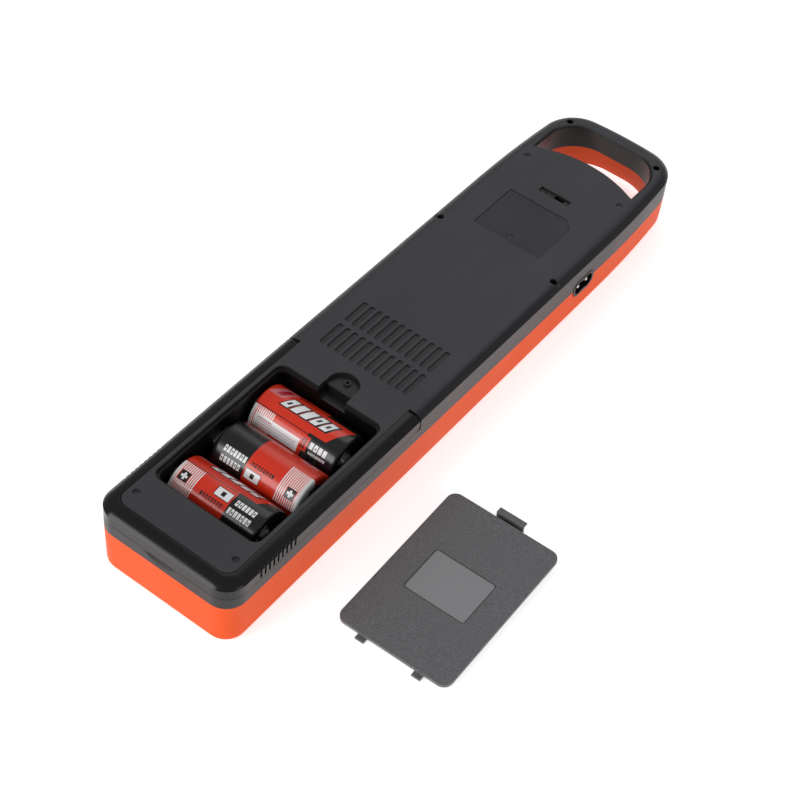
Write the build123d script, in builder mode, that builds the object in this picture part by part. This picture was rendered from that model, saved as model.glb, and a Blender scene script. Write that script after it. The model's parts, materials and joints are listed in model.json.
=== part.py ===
from build123d import *
from math import asin, cos, degrees, radians, sin, sqrt
import os

# A portable mains and battery lantern, lying on its front face.
# +Y runs along the case from the base end to the carrying handle, +X points to the mains inlet's
# side, and +Z up, out of the back. The origin is on the resting front face, on the centre line,
# straight below the middle cell.
# Everything on the back is laid out on BACK, a plane that falls gently towards the handle:
# its local Y is the distance from the base end, and its local Z is the height over the back panel.

os.makedirs("parts", exist_ok=True)

# ---------------------------------------------------------------- driving dimensions
ORIGIN_FROM_BASE = 86.9
CASE_WIDTH = 93.0
CASE_DEPTH = 48.0              # front face to back panel, at the base end
BACK_FALL = 1.39               # degrees that the back panel falls towards the handle
STRAIGHT_SIDE = 342.0          # length of the parallel sides, from the base end
SIDE_SWEEP_RADIUS = 700.0      # the sides draw in gently beside the handle
SIDE_SWEEP_TURN = 5.5          # degrees
SHOULDER_RADIUS = 24.0         # corners at the handle end
SHOULDER_TURN = 80.0           # degrees
BASE_CORNER = 13.0
WALL = 2.4

SEAM_DEPTH = 17.6              # back panel to the joint between the two shells
RIM_WIDTH = 8.0                # rolled edge around the back panel
RIM_DROP = 3.5                 # how far the rolled edge falls before its crease
PANEL_THICKNESS = 2.8
FRONT_WALL = 2.6
FRONT_EDGE = 4.0               # rounding around the front face
FRONT_DRAFT = 1.5              # degrees

CLEAR = 0.3                    # gap between pieces that move apart
RUNNING = 0.07                 # radial gap of a pin in its bore

# The finger opening at four depths below the back panel: half its width, where its straight
# sides start, the peak of the arc where the panel ends, its far edge and its corner radius.
HANDLE_RIM = (35.3, 383.6, 392.4, 419.5, 20.0)
HANDLE_SEAM = (36.3, 382.8, 391.4, 423.4, 26.0)
HANDLE_GRIP = (36.7, 382.5, 391.1, 425.2, 27.5)
HANDLE_FOOT = (37.0, 382.0, 390.6, 428.2, 30.5)
HANDLE_GRIP_DEPTH = 27.0
HANDLE_FOOT_DEPTH = 31.5       # from here on the opening's wall is upright
SOLID_FROM = 404.0             # beyond this the front shell's bar is solid
ARCH_HALF = 31.0               # fingers reach under the bar through an arch in the front shell
ARCH_RISE = 4.6
ARCH_CORNER = 4.0
HANDLE_LIP = 1.6               # the opening's rim is broken back by this much

STAND_INNER = 38.4             # half the width inside the stand's arms
STAND_BASE = 9.0               # width of the stand's crossbar
STAND_END = 157.7
STAND_THICK = 9.8
STAND_PIVOT_Y = 153.2
STAND_PIVOT_DEPTH = 3.6
STAND_INNER_CORNER = 6.5
STAND_END_GAP = 1.0
PIN_RADIUS = 1.5
SHELF = 1.8                    # housing wall under and beside the stand

BAY_HALF = 36.0
BAY_LOW = 33.0
BAY_HIGH = 139.2
BAY_CORNER = 6.0
BAY_RECESS = 2.4
BAY_FRAME = 4.0                # depth of the frame that carries the bay's ledge
TRAY_HALF = 34.6               # half the free width inside the tray
TRAY_LOW = 35.0
TRAY_HIGH = 138.0
TRAY_WALL = 1.6
TRAY_DEPTH = 37.1
COVER_THICK = 2.2

CELL_RADIUS = 16.1
SLEEVE_RADIUS = 16.45
CELL_LENGTH = 61.0
SLEEVE_LENGTH = 57.5
CAP_HEIGHT = 1.5
CAP_RADIUS = 4.6
CELL_DEPTH = 20.3              # back panel to the cells' axes
CELLS = {                      # distance from the base end, side of the positive cap, sideways set
    "near": (52.9, -1, -2.7),
    "middle": (86.9, 1, 0.7),
    "far": (120.9, -1, -2.9),
}

LATCH_HALF = 9.6
LATCH_DROP = 6.5               # cover's face to the lowest part of its latch
LATCH_BACK = 145.5
DISH_CENTRE = 148.2
DISH_DEPTH = 2.9

INLET_Y = 319.6
INLET_DEPTH = 18.4
INLET_FACE_X = 46.8
PIN_SPREAD = 8.6

SELECTOR_Y = 353.1
SELECTOR_HALF = 10.8
SELECTOR_TRAVEL = 5.6
SELECTOR_SINK = 1.4

LIGHT_LOW = 168.0              # ends of the light window, from the base end
LIGHT_HIGH = 366.0
LIGHT_HALF = 32.5
LIGHT_CORNER = 8.0
FRONT_SET_BACK = 0.8           # the diffuser lies this far inside the resting face

SWITCH_Y = 153.4

BOARD_Y = 252.0
BOARD_HALF_X = 25.0
BOARD_HALF_Y = 36.0
BOARD_TOP = 20.0               # depth of the board's upper face below the back panel
board_corners = [(x, BOARD_Y + y) for x in (-21.0, 21.0) for y in (-32.0, 32.0)]

CORE_X = -15.0                 # the transformer's place
CORE_Y = 326.0
CORE_LONG = 34.0
CORE_WIDE = 28.0
CORE_LOW = 20.6
CORE_HIGH = 6.6

# ---------------------------------------------------------------- the case outline
with BuildLine() as half_outline:
    base = Line((0, 0), (CASE_WIDTH / 2 - BASE_CORNER, 0))
    base_corner = JernArc(base @ 1, base % 1, BASE_CORNER, 90)
    side = Line(base_corner @ 1, (CASE_WIDTH / 2, STRAIGHT_SIDE))
    sweep_in = JernArc(side @ 1, side % 1, SIDE_SWEEP_RADIUS, SIDE_SWEEP_TURN)
    shoulder = JernArc(sweep_in @ 1, sweep_in % 1, SHOULDER_RADIUS, SHOULDER_TURN)
    crown_turn = 90 - SIDE_SWEEP_TURN - SHOULDER_TURN
    crown_radius = (shoulder @ 1).X / sin(radians(crown_turn))
    JernArc(shoulder @ 1, shoulder % 1, crown_radius, crown_turn)

BACK = Plane(
    origin=(0, -ORIGIN_FROM_BASE, CASE_DEPTH),
    x_dir=(1, 0, 0),
    z_dir=(0, sin(radians(BACK_FALL)), cos(radians(BACK_FALL))),
)
BACK_UP = Axis(BACK.origin, BACK.z_dir)


def back(x=0.0, y=0.0, z=0.0):
    """A plane parallel to the back panel, with its origin at a place measured on BACK."""
    return Plane(BACK.from_local_coords(Vector(x, y, z)), x_dir=BACK.x_dir, z_dir=BACK.z_dir)


def across(x, y, z):
    """A plane that faces +X at a place measured on BACK; its local Y is the back's normal."""
    return Plane(
        BACK.from_local_coords(Vector(x, y, z)),
        x_dir=BACK.y_dir,
        z_dir=(1, 0, 0),
    )


def rounded(half_x, low, high, corner):
    """A rounded rectangle, symmetrical about X, between two distances from the base end."""
    with BuildSketch() as face:
        with Locations((0, (low + high) / 2)):
            RectangleRounded(2 * half_x, high - low, corner)
    return face.sketch


with BuildSketch() as case_sketch:
    with BuildLine():
        add(half_outline.line)
        mirror(half_outline.line, about=Plane.YZ)
    make_face()
CASE_FACE = case_sketch.sketch
INSIDE_FACE = offset(CASE_FACE, amount=-WALL, kind=Kind.INTERSECTION)



def handle_face(half, low, peak, high, corner):
    """The finger opening's outline: straight sides, two round corners and the panel's arc."""
    with BuildSketch() as face:
        with BuildLine():
            right = Line((half, low), (half, high - corner))
            corner_r = JernArc(right @ 1, right % 1, corner, 90)
            top = Line(corner_r @ 1, (-(corner_r @ 1).X, high))
            corner_l = JernArc(top @ 1, top % 1, corner, 90)
            left = Line(corner_l @ 1, (-half, low))
            ThreePointArc(left @ 1, (0, peak), right @ 0)
        make_face()
    return face.sketch


REAR_CAVITY = INSIDE_FACE - offset(handle_face(*HANDLE_SEAM), amount=WALL)
with BuildSketch() as front_cavity_sketch:
    add(INSIDE_FACE - offset(handle_face(*HANDLE_FOOT), amount=WALL))
    with Locations((0, SOLID_FROM + CASE_WIDTH / 2)):
        Rectangle(CASE_WIDTH, CASE_WIDTH, mode=Mode.SUBTRACT)
FRONT_CAVITY = front_cavity_sketch.sketch

# The stand fills a band around the base end; this is the panel that it leaves free.
NOTCH_HALF = STAND_INNER - CLEAR / 2
NOTCH_LOW = STAND_BASE + CLEAR / 2
NOTCH_END = STAND_END + STAND_END_GAP
NOTCH_DEPTH = STAND_THICK + CLEAR


def stand_band(half_x, low, corner, end):
    """The band around the base end that lies outside a rounded tongue."""
    reach = CASE_WIDTH
    with BuildSketch() as band:
        with Locations((0, end / 2 - reach / 2)):
            Rectangle(2 * reach, end + reach)
        with Locations((0, low + reach)):
            RectangleRounded(2 * half_x, 2 * reach, corner, mode=Mode.SUBTRACT)
        with Locations((0, low + reach + end)):
            Rectangle(2 * half_x, 2 * end, mode=Mode.SUBTRACT)
    return band.sketch


NOTCH_FACE = stand_band(NOTCH_HALF, NOTCH_LOW, STAND_INNER_CORNER, NOTCH_END)

# ---------------------------------------------------------------- screws and wells
DEEP_WELLS = [(-40.9, 292.4), (40.9, 292.4), (-32.3, 416.7), (32.3, 416.7)]
PANEL_SCREWS = [(-33.65, 19.6), (33.65, 19.6), (-34.0, 372.3), (34.0, 372.3), (0.0, 306.2)]
WELL_RADIUS = 2.2
WELL_DEPTH = 11.0
BOSS_RADIUS = 3.9
PANEL_SCREW_HEAD = 1.8
PANEL_SCREW_SINK = 0.9
PANEL_BOSS_DEPTH = 9.0
SHANK_RADIUS = 1.2

# ---------------------------------------------------------------- rear housing
RIM_RADIUS = (RIM_WIDTH**2 + RIM_DROP**2) / (2 * RIM_DROP)
RIM_OVERHANG = RIM_RADIUS - RIM_WIDTH

# The rolled edge is a large rounding that the upright sides cut off at a crease.
with BuildPart() as rolled_block:
    with BuildSketch(BACK):
        offset(CASE_FACE, amount=RIM_OVERHANG)
    extrude(amount=-SEAM_DEPTH)
    fillet(rolled_block.faces().sort_by(BACK_UP)[-1].edges(), RIM_RADIUS)

with BuildPart() as handle_upper:
    with BuildSketch(BACK):
        add(handle_face(*HANDLE_RIM))
    with BuildSketch(back(z=-SEAM_DEPTH)):
        add(handle_face(*HANDLE_SEAM))
    loft(ruled=True)

with BuildPart() as handle_lower:
    with BuildSketch(back(z=-SEAM_DEPTH)):
        add(handle_face(*HANDLE_SEAM))
    with BuildSketch(back(z=-HANDLE_GRIP_DEPTH)):
        add(handle_face(*HANDLE_GRIP))
    with BuildSketch(back(z=-HANDLE_FOOT_DEPTH)):
        add(handle_face(*HANDLE_FOOT))
    loft(ruled=True)
    with BuildSketch(back(z=-HANDLE_FOOT_DEPTH)):
        add(handle_face(*HANDLE_FOOT))
    extrude(amount=-CASE_DEPTH + HANDLE_FOOT_DEPTH)

VENT_ROWS = [(164.8, 184.2), (187.2, 206.5)]
VENT_COUNT = 12
VENT_PITCH = 5.29
VENT_WIDTH = 3.3
VENT_DEPTH = 0.8
LABEL_HALF = 23.9
LABEL_LOW = 302.0
LABEL_HIGH = 340.6
LABEL_CUT = 6.5
LABEL_SINK = 0.5


def well_posts():
    """Posts for the case screws, from the panel's inner face down to the seam."""
    with BuildPart() as posts:
        with BuildSketch(back(z=-SEAM_DEPTH)):
            with Locations(*DEEP_WELLS):
                Circle(BOSS_RADIUS)
        extrude(amount=SEAM_DEPTH - 1.5)
        with BuildSketch(back(z=-PANEL_BOSS_DEPTH)):
            with Locations(*PANEL_SCREWS):
                Circle(3.2)
        extrude(amount=PANEL_BOSS_DEPTH - 1.5)
    return posts.part


INLET_LENGTH = 21.4
INLET_HEIGHT = 12.0
SCOOP_SPHERE = 30.0
SCOOP_HALF = 12.0              # half the scoop's width at the stand's lower edge
SCOOP_LOW = 14.7               # lowest point of the scoop, below the back panel
SCOOP_CENTRE = -(SCOOP_LOW**2 - STAND_THICK**2 - SCOOP_HALF**2) / (2 * (SCOOP_LOW - STAND_THICK))
SCOOP_BACK = sqrt(SCOOP_SPHERE**2 - (SCOOP_LOW + SCOOP_CENTRE) ** 2)


with BuildPart() as rear_housing:
    with BuildSketch(back(z=-SEAM_DEPTH)):
        add(CASE_FACE)
    extrude(amount=SEAM_DEPTH)
    add(rolled_block.part, mode=Mode.INTERSECT)
    # The cavity: full width at the seam, narrower beside the stand.
    with BuildSketch(back(z=-SEAM_DEPTH)):
        add(REAR_CAVITY)
    extrude(amount=SEAM_DEPTH - NOTCH_DEPTH - SHELF, mode=Mode.SUBTRACT)
    with BuildSketch(back(z=-NOTCH_DEPTH - SHELF)):
        add(REAR_CAVITY)
        add(
            stand_band(NOTCH_HALF - SHELF, NOTCH_LOW + SHELF, STAND_INNER_CORNER, NOTCH_END + SHELF),
            mode=Mode.SUBTRACT,
        )
    extrude(amount=NOTCH_DEPTH + SHELF - PANEL_THICKNESS, mode=Mode.SUBTRACT)
    with BuildSketch(back(z=-NOTCH_DEPTH)):
        add(NOTCH_FACE)
    extrude(amount=NOTCH_DEPTH + CLEAR, mode=Mode.SUBTRACT)
    # Bores for the stand's hinge pins, one in each side wall.
    for side_x in (-NOTCH_HALF - 1, NOTCH_HALF - SHELF - 1):
        with BuildSketch(across(side_x, STAND_PIVOT_Y, -STAND_PIVOT_DEPTH)):
            Circle(PIN_RADIUS + RUNNING)
        extrude(amount=SHELF + 2, mode=Mode.SUBTRACT)
    # The frame under the bay's ledge, the latch pocket and the finger dish.
    with BuildSketch(back(z=-BAY_FRAME)):
        with Locations((0, (BAY_LOW + BAY_HIGH) / 2)):
            Rectangle(2 * (NOTCH_HALF - SHELF) + 1, BAY_HIGH - BAY_LOW + 4)
    extrude(amount=BAY_FRAME - 1.5)
    with BuildSketch(back(z=-9.0)):
        with Locations((0, (TRAY_HIGH + TRAY_WALL + LATCH_BACK + 2.6) / 2)):
            Rectangle(2 * LATCH_HALF + 3, LATCH_BACK + 2.6 - TRAY_HIGH - TRAY_WALL)
    extrude(amount=9.0 - 1.5)
    with BuildSketch(back(z=-DISH_DEPTH - 1.4)):
        with Locations((0, DISH_CENTRE)):
            Circle(LATCH_HALF + 1.8)
    extrude(amount=DISH_DEPTH)
    add(well_posts())
    with BuildSketch(back(z=-BOARD_TOP)):
        with Locations(*board_corners):
            Circle(3.0)
    extrude(amount=BOARD_TOP - 1.5)
    with BuildSketch(back(CORE_X, CORE_Y, -CORE_HIGH)):
        with GridLocations(CORE_LONG - 5, CORE_WIDE - 5, 2, 2):
            Rectangle(5.0, 5.0)
    extrude(amount=CORE_HIGH - 1.5)
    # Everything that is cut into the back.
    with BuildSketch(BACK):
        add(rounded(BAY_HALF, BAY_LOW, BAY_HIGH, BAY_CORNER))
    extrude(amount=-BAY_RECESS, mode=Mode.SUBTRACT)
    with BuildSketch(BACK):
        add(rounded(TRAY_HALF, TRAY_LOW, TRAY_HIGH, BAY_CORNER - 1))
    extrude(amount=-BAY_FRAME - 1, mode=Mode.SUBTRACT)
    with BuildSketch(BACK):
        with Locations((0, (BAY_HIGH - 2 + LATCH_BACK) / 2)):
            Rectangle(2 * LATCH_HALF, LATCH_BACK - BAY_HIGH + 2)
    extrude(amount=-7.6, mode=Mode.SUBTRACT)
    with BuildSketch(BACK):
        with Locations((0, DISH_CENTRE)):
            Circle(LATCH_HALF)
        with Locations((0, LATCH_BACK - LATCH_HALF)):
            Rectangle(4 * LATCH_HALF, 2 * LATCH_HALF, mode=Mode.SUBTRACT)
    extrude(amount=-DISH_DEPTH, mode=Mode.SUBTRACT)
    with BuildSketch(back(y=DISH_CENTRE + 4.4, z=-DISH_DEPTH)):
        Circle(2.1)
        Circle(1.0, mode=Mode.SUBTRACT)
    extrude(amount=1.2)
    with BuildSketch(BACK):
        for low, high in VENT_ROWS:
            with Locations((0, (low + high) / 2)):
                with GridLocations(VENT_PITCH, 1, VENT_COUNT, 1):
                    SlotOverall(high - low, VENT_WIDTH, rotation=90)
    extrude(amount=-VENT_DEPTH, mode=Mode.SUBTRACT)
    with BuildSketch(BACK):
        with BuildLine():
            Polyline(
                (-LABEL_HALF, LABEL_LOW),
                (LABEL_HALF, LABEL_LOW),
                (LABEL_HALF, LABEL_HIGH - LABEL_CUT),
                (LABEL_HALF - LABEL_CUT, LABEL_HIGH),
                (-LABEL_HALF, LABEL_HIGH),
                close=True,
            )
        make_face()
    extrude(amount=-LABEL_SINK, mode=Mode.SUBTRACT)
    with BuildSketch(BACK):
        with Locations((0, SELECTOR_Y)):
            Rectangle(2 * SELECTOR_HALF, 4.6)
    extrude(amount=-SELECTOR_SINK, mode=Mode.SUBTRACT)
    with BuildSketch(BACK):
        with Locations((0, SELECTOR_Y)):
            Rectangle(13.2, 4.2)
    extrude(amount=-PANEL_THICKNESS - 1, mode=Mode.SUBTRACT)
    # The handle opening with its bevelled rim, the screw wells and the screw seats.
    add(handle_upper.part, mode=Mode.SUBTRACT)
    with BuildSketch(BACK):
        offset(handle_face(*HANDLE_RIM), amount=HANDLE_LIP)
    extrude(amount=-HANDLE_LIP, taper=45, mode=Mode.SUBTRACT)
    with BuildSketch(BACK):
        with Locations(*DEEP_WELLS):
            Circle(WELL_RADIUS)
    extrude(amount=-WELL_DEPTH, mode=Mode.SUBTRACT)
    with BuildSketch(BACK):
        with Locations(*PANEL_SCREWS):
            Circle(PANEL_SCREW_HEAD + 0.25)
    extrude(amount=-PANEL_SCREW_SINK - LABEL_SINK, mode=Mode.SUBTRACT)
    with BuildSketch(back(z=-SEAM_DEPTH - 1)):
        with Locations(*DEEP_WELLS, *PANEL_SCREWS):
            Circle(SHANK_RADIUS + 0.05)
    extrude(amount=SEAM_DEPTH, mode=Mode.SUBTRACT)
    with BuildSketch(back(z=-BOARD_TOP)):
        with Locations(*board_corners):
            Circle(SHANK_RADIUS + 0.05)
    extrude(amount=8.0, mode=Mode.SUBTRACT)
    # The upper half of the cut-out for the mains inlet.
    with BuildSketch(across(INLET_FACE_X - 4, INLET_Y, -INLET_DEPTH)):
        SlotOverall(INLET_LENGTH + 2 * CLEAR, INLET_HEIGHT + 2 * CLEAR)
    extrude(amount=8, mode=Mode.SUBTRACT)
    # A shallow scoop in the base end, under the stand's crossbar.
    with Locations(BACK.from_local_coords(Vector(0, -SCOOP_BACK, SCOOP_CENTRE))):
        Sphere(SCOOP_SPHERE, mode=Mode.SUBTRACT)
rear_housing.part.label = "rear_housing"
export_step(rear_housing.part, "parts/rear_housing.step")

# ---------------------------------------------------------------- front housing
FRONT_POST = 3.6


def front(z=0.0):
    """A level plane at a height over the resting face; local Y is the distance from the base end."""
    return Plane((0, -ORIGIN_FROM_BASE, z))


# The front's cavity ends in a level floor, while its top follows the seam.
with BuildPart() as front_cavity:
    with BuildSketch(back(z=-SEAM_DEPTH)):
        add(FRONT_CAVITY)
    extrude(amount=-CASE_DEPTH)
    split(bisect_by=Plane.XY.offset(FRONT_WALL), keep=Keep.TOP)

CUP_HALF_X = 14.0
CUP_HALF_Y = 8.4
CUP_FLOOR = 4.2
CUP_WALL = 1.6
BEZEL_WIDTH = 4.5
BEZEL_SINK = 0.6
BEZEL_SEAT = 1.4

with BuildPart() as front_housing:
    with BuildSketch(back(z=-SEAM_DEPTH)):
        add(CASE_FACE)
    extrude(amount=-CASE_DEPTH, taper=FRONT_DRAFT)
    split(bisect_by=Plane.XY, keep=Keep.TOP)
    fillet(front_housing.faces().sort_by(Axis.Z)[0].edges(), FRONT_EDGE)
    add(front_cavity.part, mode=Mode.SUBTRACT)
    # Posts under the case screws, the switch cup and the window's inner rim.
    with BuildSketch(back(z=-SEAM_DEPTH)):
        with Locations(*DEEP_WELLS):
            Circle(FRONT_POST)
    extrude(amount=-CASE_DEPTH + SEAM_DEPTH + 14)
    with BuildSketch(front(1.0)):
        with Locations((0, SWITCH_Y)):
            Rectangle(2 * (CUP_HALF_X + CUP_WALL), 2 * (CUP_HALF_Y + CUP_WALL))
    extrude(amount=CUP_FLOOR + CUP_WALL - 1.0)
    with BuildSketch(front()):
        with Locations((0, SWITCH_Y)):
            RectangleRounded(2 * CUP_HALF_X, 2 * CUP_HALF_Y, 3.0)
    extrude(amount=CUP_FLOOR, mode=Mode.SUBTRACT)
    with BuildSketch(front()):
        with Locations((0, SWITCH_Y)):
            Rectangle(19.4, 13.0)
    extrude(amount=CUP_FLOOR + CUP_WALL + 1, mode=Mode.SUBTRACT)
    with BuildSketch(front()):
        add(rounded(LIGHT_HALF + BEZEL_WIDTH, LIGHT_LOW - BEZEL_WIDTH, LIGHT_HIGH + BEZEL_WIDTH, 11.0))
    extrude(amount=BEZEL_SEAT, mode=Mode.SUBTRACT)
    with BuildSketch(front()):
        add(rounded(LIGHT_HALF, LIGHT_LOW, LIGHT_HIGH, LIGHT_CORNER))
        with Locations((24.0, SWITCH_Y)):
            Circle(1.6)
    extrude(amount=FRONT_WALL + 1, mode=Mode.SUBTRACT)
    add(handle_lower.part, mode=Mode.SUBTRACT)
    with BuildSketch(Plane((0, SOLID_FROM - ORIGIN_FROM_BASE, 0), x_dir=(1, 0, 0), z_dir=(0, 1, 0))):
        with Locations((0, CASE_WIDTH / 2 - ARCH_RISE)):
            RectangleRounded(2 * ARCH_HALF, CASE_WIDTH, ARCH_CORNER)
    extrude(amount=CASE_WIDTH, mode=Mode.SUBTRACT)
    with BuildSketch(back(z=-SEAM_DEPTH + 1)):
        with Locations(*DEEP_WELLS):
            Circle(SHANK_RADIUS + 0.05)
    extrude(amount=-14.0, mode=Mode.SUBTRACT)
    with BuildSketch(across(INLET_FACE_X - 4, INLET_Y, -INLET_DEPTH)):
        SlotOverall(INLET_LENGTH + 2 * CLEAR, INLET_HEIGHT + 2 * CLEAR)
    extrude(amount=8, mode=Mode.SUBTRACT)
front_housing.part.label = "front_housing"
export_step(front_housing.part, "parts/front_housing.step")

# ---------------------------------------------------------------- prop stand
STAND_END_RADIUS = STAND_THICK - STAND_PIVOT_DEPTH
STAND_END_CHAMFER = 1.3
PIN_LENGTH = 8.0
PIN_START = NOTCH_HALF - SHELF + CLEAR
RIB_COUNT = 9
RIB_PITCH = 3.4
RIB_FIRST = 24.6
RIB_DEPTH = 0.8

with BuildPart() as stand:
    with BuildSketch(back(z=-STAND_THICK)):
        add(CASE_FACE)
        add(
            stand_band(STAND_INNER + CLEAR / 2, STAND_BASE - CLEAR / 2, STAND_INNER_CORNER, STAND_END),
            mode=Mode.INTERSECT,
        )
    extrude(amount=STAND_THICK)
    add(rolled_block.part, mode=Mode.INTERSECT)
    # Each arm's end is rounded about the pivot underneath and eased on top, so that it can turn.
    with BuildSketch(across(-CASE_WIDTH, STAND_PIVOT_Y, -STAND_PIVOT_DEPTH)):
        with Locations((STAND_END_RADIUS / 2, -STAND_END_RADIUS / 2)):
            Rectangle(STAND_END_RADIUS, STAND_END_RADIUS)
        Circle(STAND_END_RADIUS, mode=Mode.SUBTRACT)
        with Locations((STAND_END - STAND_PIVOT_Y, STAND_PIVOT_DEPTH)):
            Rectangle(
                STAND_END_CHAMFER * sqrt(2), STAND_END_CHAMFER * sqrt(2), rotation=45
            )
    extrude(amount=2 * CASE_WIDTH, mode=Mode.SUBTRACT)
    for side_sign in (-1, 1):
        with BuildSketch(across(side_sign * PIN_START, STAND_PIVOT_Y, -STAND_PIVOT_DEPTH)):
            Circle(PIN_RADIUS)
        extrude(amount=side_sign * PIN_LENGTH, mode=Mode.SUBTRACT)
    for side_x in (-CASE_WIDTH / 2 - 1, CASE_WIDTH / 2 - RIB_DEPTH):
        with BuildSketch(across(side_x, RIB_FIRST, -5.0)):
            with Locations((RIB_PITCH * (RIB_COUNT - 1) / 2, 0)):
                with GridLocations(RIB_PITCH, 1, RIB_COUNT, 1):
                    SlotOverall(8.0, 1.5, rotation=90)
        extrude(amount=1 + RIB_DEPTH, mode=Mode.SUBTRACT)
stand.part.label = "stand"
export_step(stand.part, "parts/stand.step")

with BuildPart() as stand_pins:
    for side_sign in (-1, 1):
        with BuildSketch(across(side_sign * PIN_START, STAND_PIVOT_Y, -STAND_PIVOT_DEPTH)):
            Circle(PIN_RADIUS)
        extrude(amount=side_sign * PIN_LENGTH)
stand_pins.part.label = "stand_pins"
export_step(stand_pins.part, "parts/stand_pins.step")

# ---------------------------------------------------------------- battery tray
CRADLE_RADIUS = SLEEVE_RADIUS + 0.35
CRADLE_HEIGHT = 7.0

with BuildPart() as battery_tray:
    with BuildSketch(back(z=-BAY_FRAME)):
        with Locations((0, (TRAY_LOW + TRAY_HIGH) / 2)):
            Rectangle(2 * (TRAY_HALF + TRAY_WALL), TRAY_HIGH - TRAY_LOW + 2 * TRAY_WALL)
    extrude(amount=-(TRAY_DEPTH + TRAY_WALL - BAY_FRAME))
    with BuildSketch(back(z=-BAY_FRAME)):
        add(rounded(TRAY_HALF, TRAY_LOW, TRAY_HIGH, 2.0))
    extrude(amount=-(TRAY_DEPTH - BAY_FRAME), mode=Mode.SUBTRACT)
    # A notch in the end wall lets the cover's latch dip into its pocket.
    with BuildSketch(back(z=-BAY_FRAME)):
        with Locations((0, TRAY_HIGH + TRAY_WALL / 2)):
            Rectangle(2 * LATCH_HALF, TRAY_WALL + 1)
    extrude(amount=-(LATCH_DROP + 1 - BAY_FRAME), mode=Mode.SUBTRACT)
    # Ridges between the cells, hollowed to the cells' own curve.
    for ridge_y in (
        (CELLS["near"][0] + CELLS["middle"][0]) / 2,
        (CELLS["middle"][0] + CELLS["far"][0]) / 2,
    ):
        with BuildSketch(across(-TRAY_HALF + 6, ridge_y, -TRAY_DEPTH)):
            with Locations((0, CRADLE_HEIGHT / 2)):
                Rectangle(14.0, CRADLE_HEIGHT)
        extrude(amount=2 * TRAY_HALF - 12)
    for cell_y, cap_side, cell_set in CELLS.values():
        with BuildSketch(across(-TRAY_HALF, cell_y, -CELL_DEPTH)):
            Circle(CRADLE_RADIUS)
        extrude(amount=2 * TRAY_HALF, mode=Mode.SUBTRACT)
battery_tray.part.label = "battery_tray"
export_step(battery_tray.part, "parts/battery_tray.step")

# ---------------------------------------------------------------- cells and their contacts
CONTACT_THICK = 0.4
CONTACT_SIZE = 13.0
CONTACT_X = TRAY_HALF - CONTACT_THICK
SPRING_RADIUS = 5.6
SPRING_WIRE = 0.45
SPRING_TURNS = 3.0
SPRING_TAPER = 22.0            # degrees
SHOULDER_STEP = 0.8            # the sleeve's lip stands over the can at the cap


def cell_ends(cap_side, cell_set):
    """The cap's tip, and the direction from it to the other end."""
    return cell_set + cap_side * CELL_LENGTH / 2, -cap_side


contacts = []
springs = []
for cell_name, (cell_y, cap_side, cell_set) in CELLS.items():
    tip, inward = cell_ends(cap_side, cell_set)
    sleeve_start = tip + inward * CAP_HEIGHT
    can_start = sleeve_start + inward * SHOULDER_STEP
    with BuildPart() as cell_can:
        with BuildSketch(across(can_start, cell_y, -CELL_DEPTH)):
            Circle(CELL_RADIUS)
        extrude(amount=inward * (CELL_LENGTH - CAP_HEIGHT - SHOULDER_STEP))
    cell_can.part.label = f"cell_{cell_name}_can"
    export_step(cell_can.part, f"parts/cell_{cell_name}_can.step")

    with BuildPart() as cell_sleeve:
        with BuildSketch(across(sleeve_start, cell_y, -CELL_DEPTH)):
            Circle(SLEEVE_RADIUS)
            Circle(CELL_RADIUS, mode=Mode.SUBTRACT)
        extrude(amount=inward * SLEEVE_LENGTH)
    cell_sleeve.part.label = f"cell_{cell_name}_sleeve"
    export_step(cell_sleeve.part, f"parts/cell_{cell_name}_sleeve.step")

    with BuildPart() as cell_cap:
        with BuildSketch(across(tip, cell_y, -CELL_DEPTH)):
            Circle(CAP_RADIUS)
        extrude(amount=inward * (CAP_HEIGHT + SHOULDER_STEP))
    cell_cap.part.label = f"cell_{cell_name}_cap"
    export_step(cell_cap.part, f"parts/cell_{cell_name}_cap.step")

    # A plate with a dimple meets the cap, and a plate with a tapering spring meets the other end.
    cap_gap = abs(cap_side * CONTACT_X - tip) - CLEAR
    with BuildPart() as cap_contact:
        with BuildSketch(across(cap_side * CONTACT_X, cell_y, -CELL_DEPTH)):
            Rectangle(CONTACT_SIZE, CONTACT_SIZE)
        extrude(amount=cap_side * CONTACT_THICK)
        with BuildSketch(across(cap_side * CONTACT_X, cell_y, -CELL_DEPTH)):
            Circle(3.0)
        extrude(amount=-cap_side * cap_gap)
    with BuildPart() as spring_contact:
        with BuildSketch(across(-cap_side * CONTACT_X, cell_y, -CELL_DEPTH)):
            Rectangle(CONTACT_SIZE, CONTACT_SIZE)
        extrude(amount=-cap_side * CONTACT_THICK)
    contacts += [cap_contact.part, spring_contact.part]

    bottom = tip + inward * CELL_LENGTH
    spring_room = abs(-cap_side * CONTACT_X - bottom) - CLEAR - 2 * SPRING_WIRE
    spring_foot = BACK.from_local_coords(
        Vector(-cap_side * (CONTACT_X - SPRING_WIRE), cell_y, -CELL_DEPTH)
    )
    with BuildPart() as spring:
        with BuildLine() as coil:
            Helix(
                spring_room / SPRING_TURNS,
                spring_room,
                SPRING_RADIUS,
                center=spring_foot,
                direction=(cap_side, 0, 0),
                cone_angle=-SPRING_TAPER,
            )
        with BuildSketch(Plane(coil.line @ 0, z_dir=coil.line % 0)):
            Circle(SPRING_WIRE)
        sweep(is_frenet=True)
    springs.append(spring.part)

contact_plates = Compound(label="contact_plates", children=contacts)
export_step(contact_plates, "parts/contact_plates.step")
battery_springs = Compound(label="battery_springs", children=springs)
export_step(battery_springs, "parts/battery_springs.step")

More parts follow.
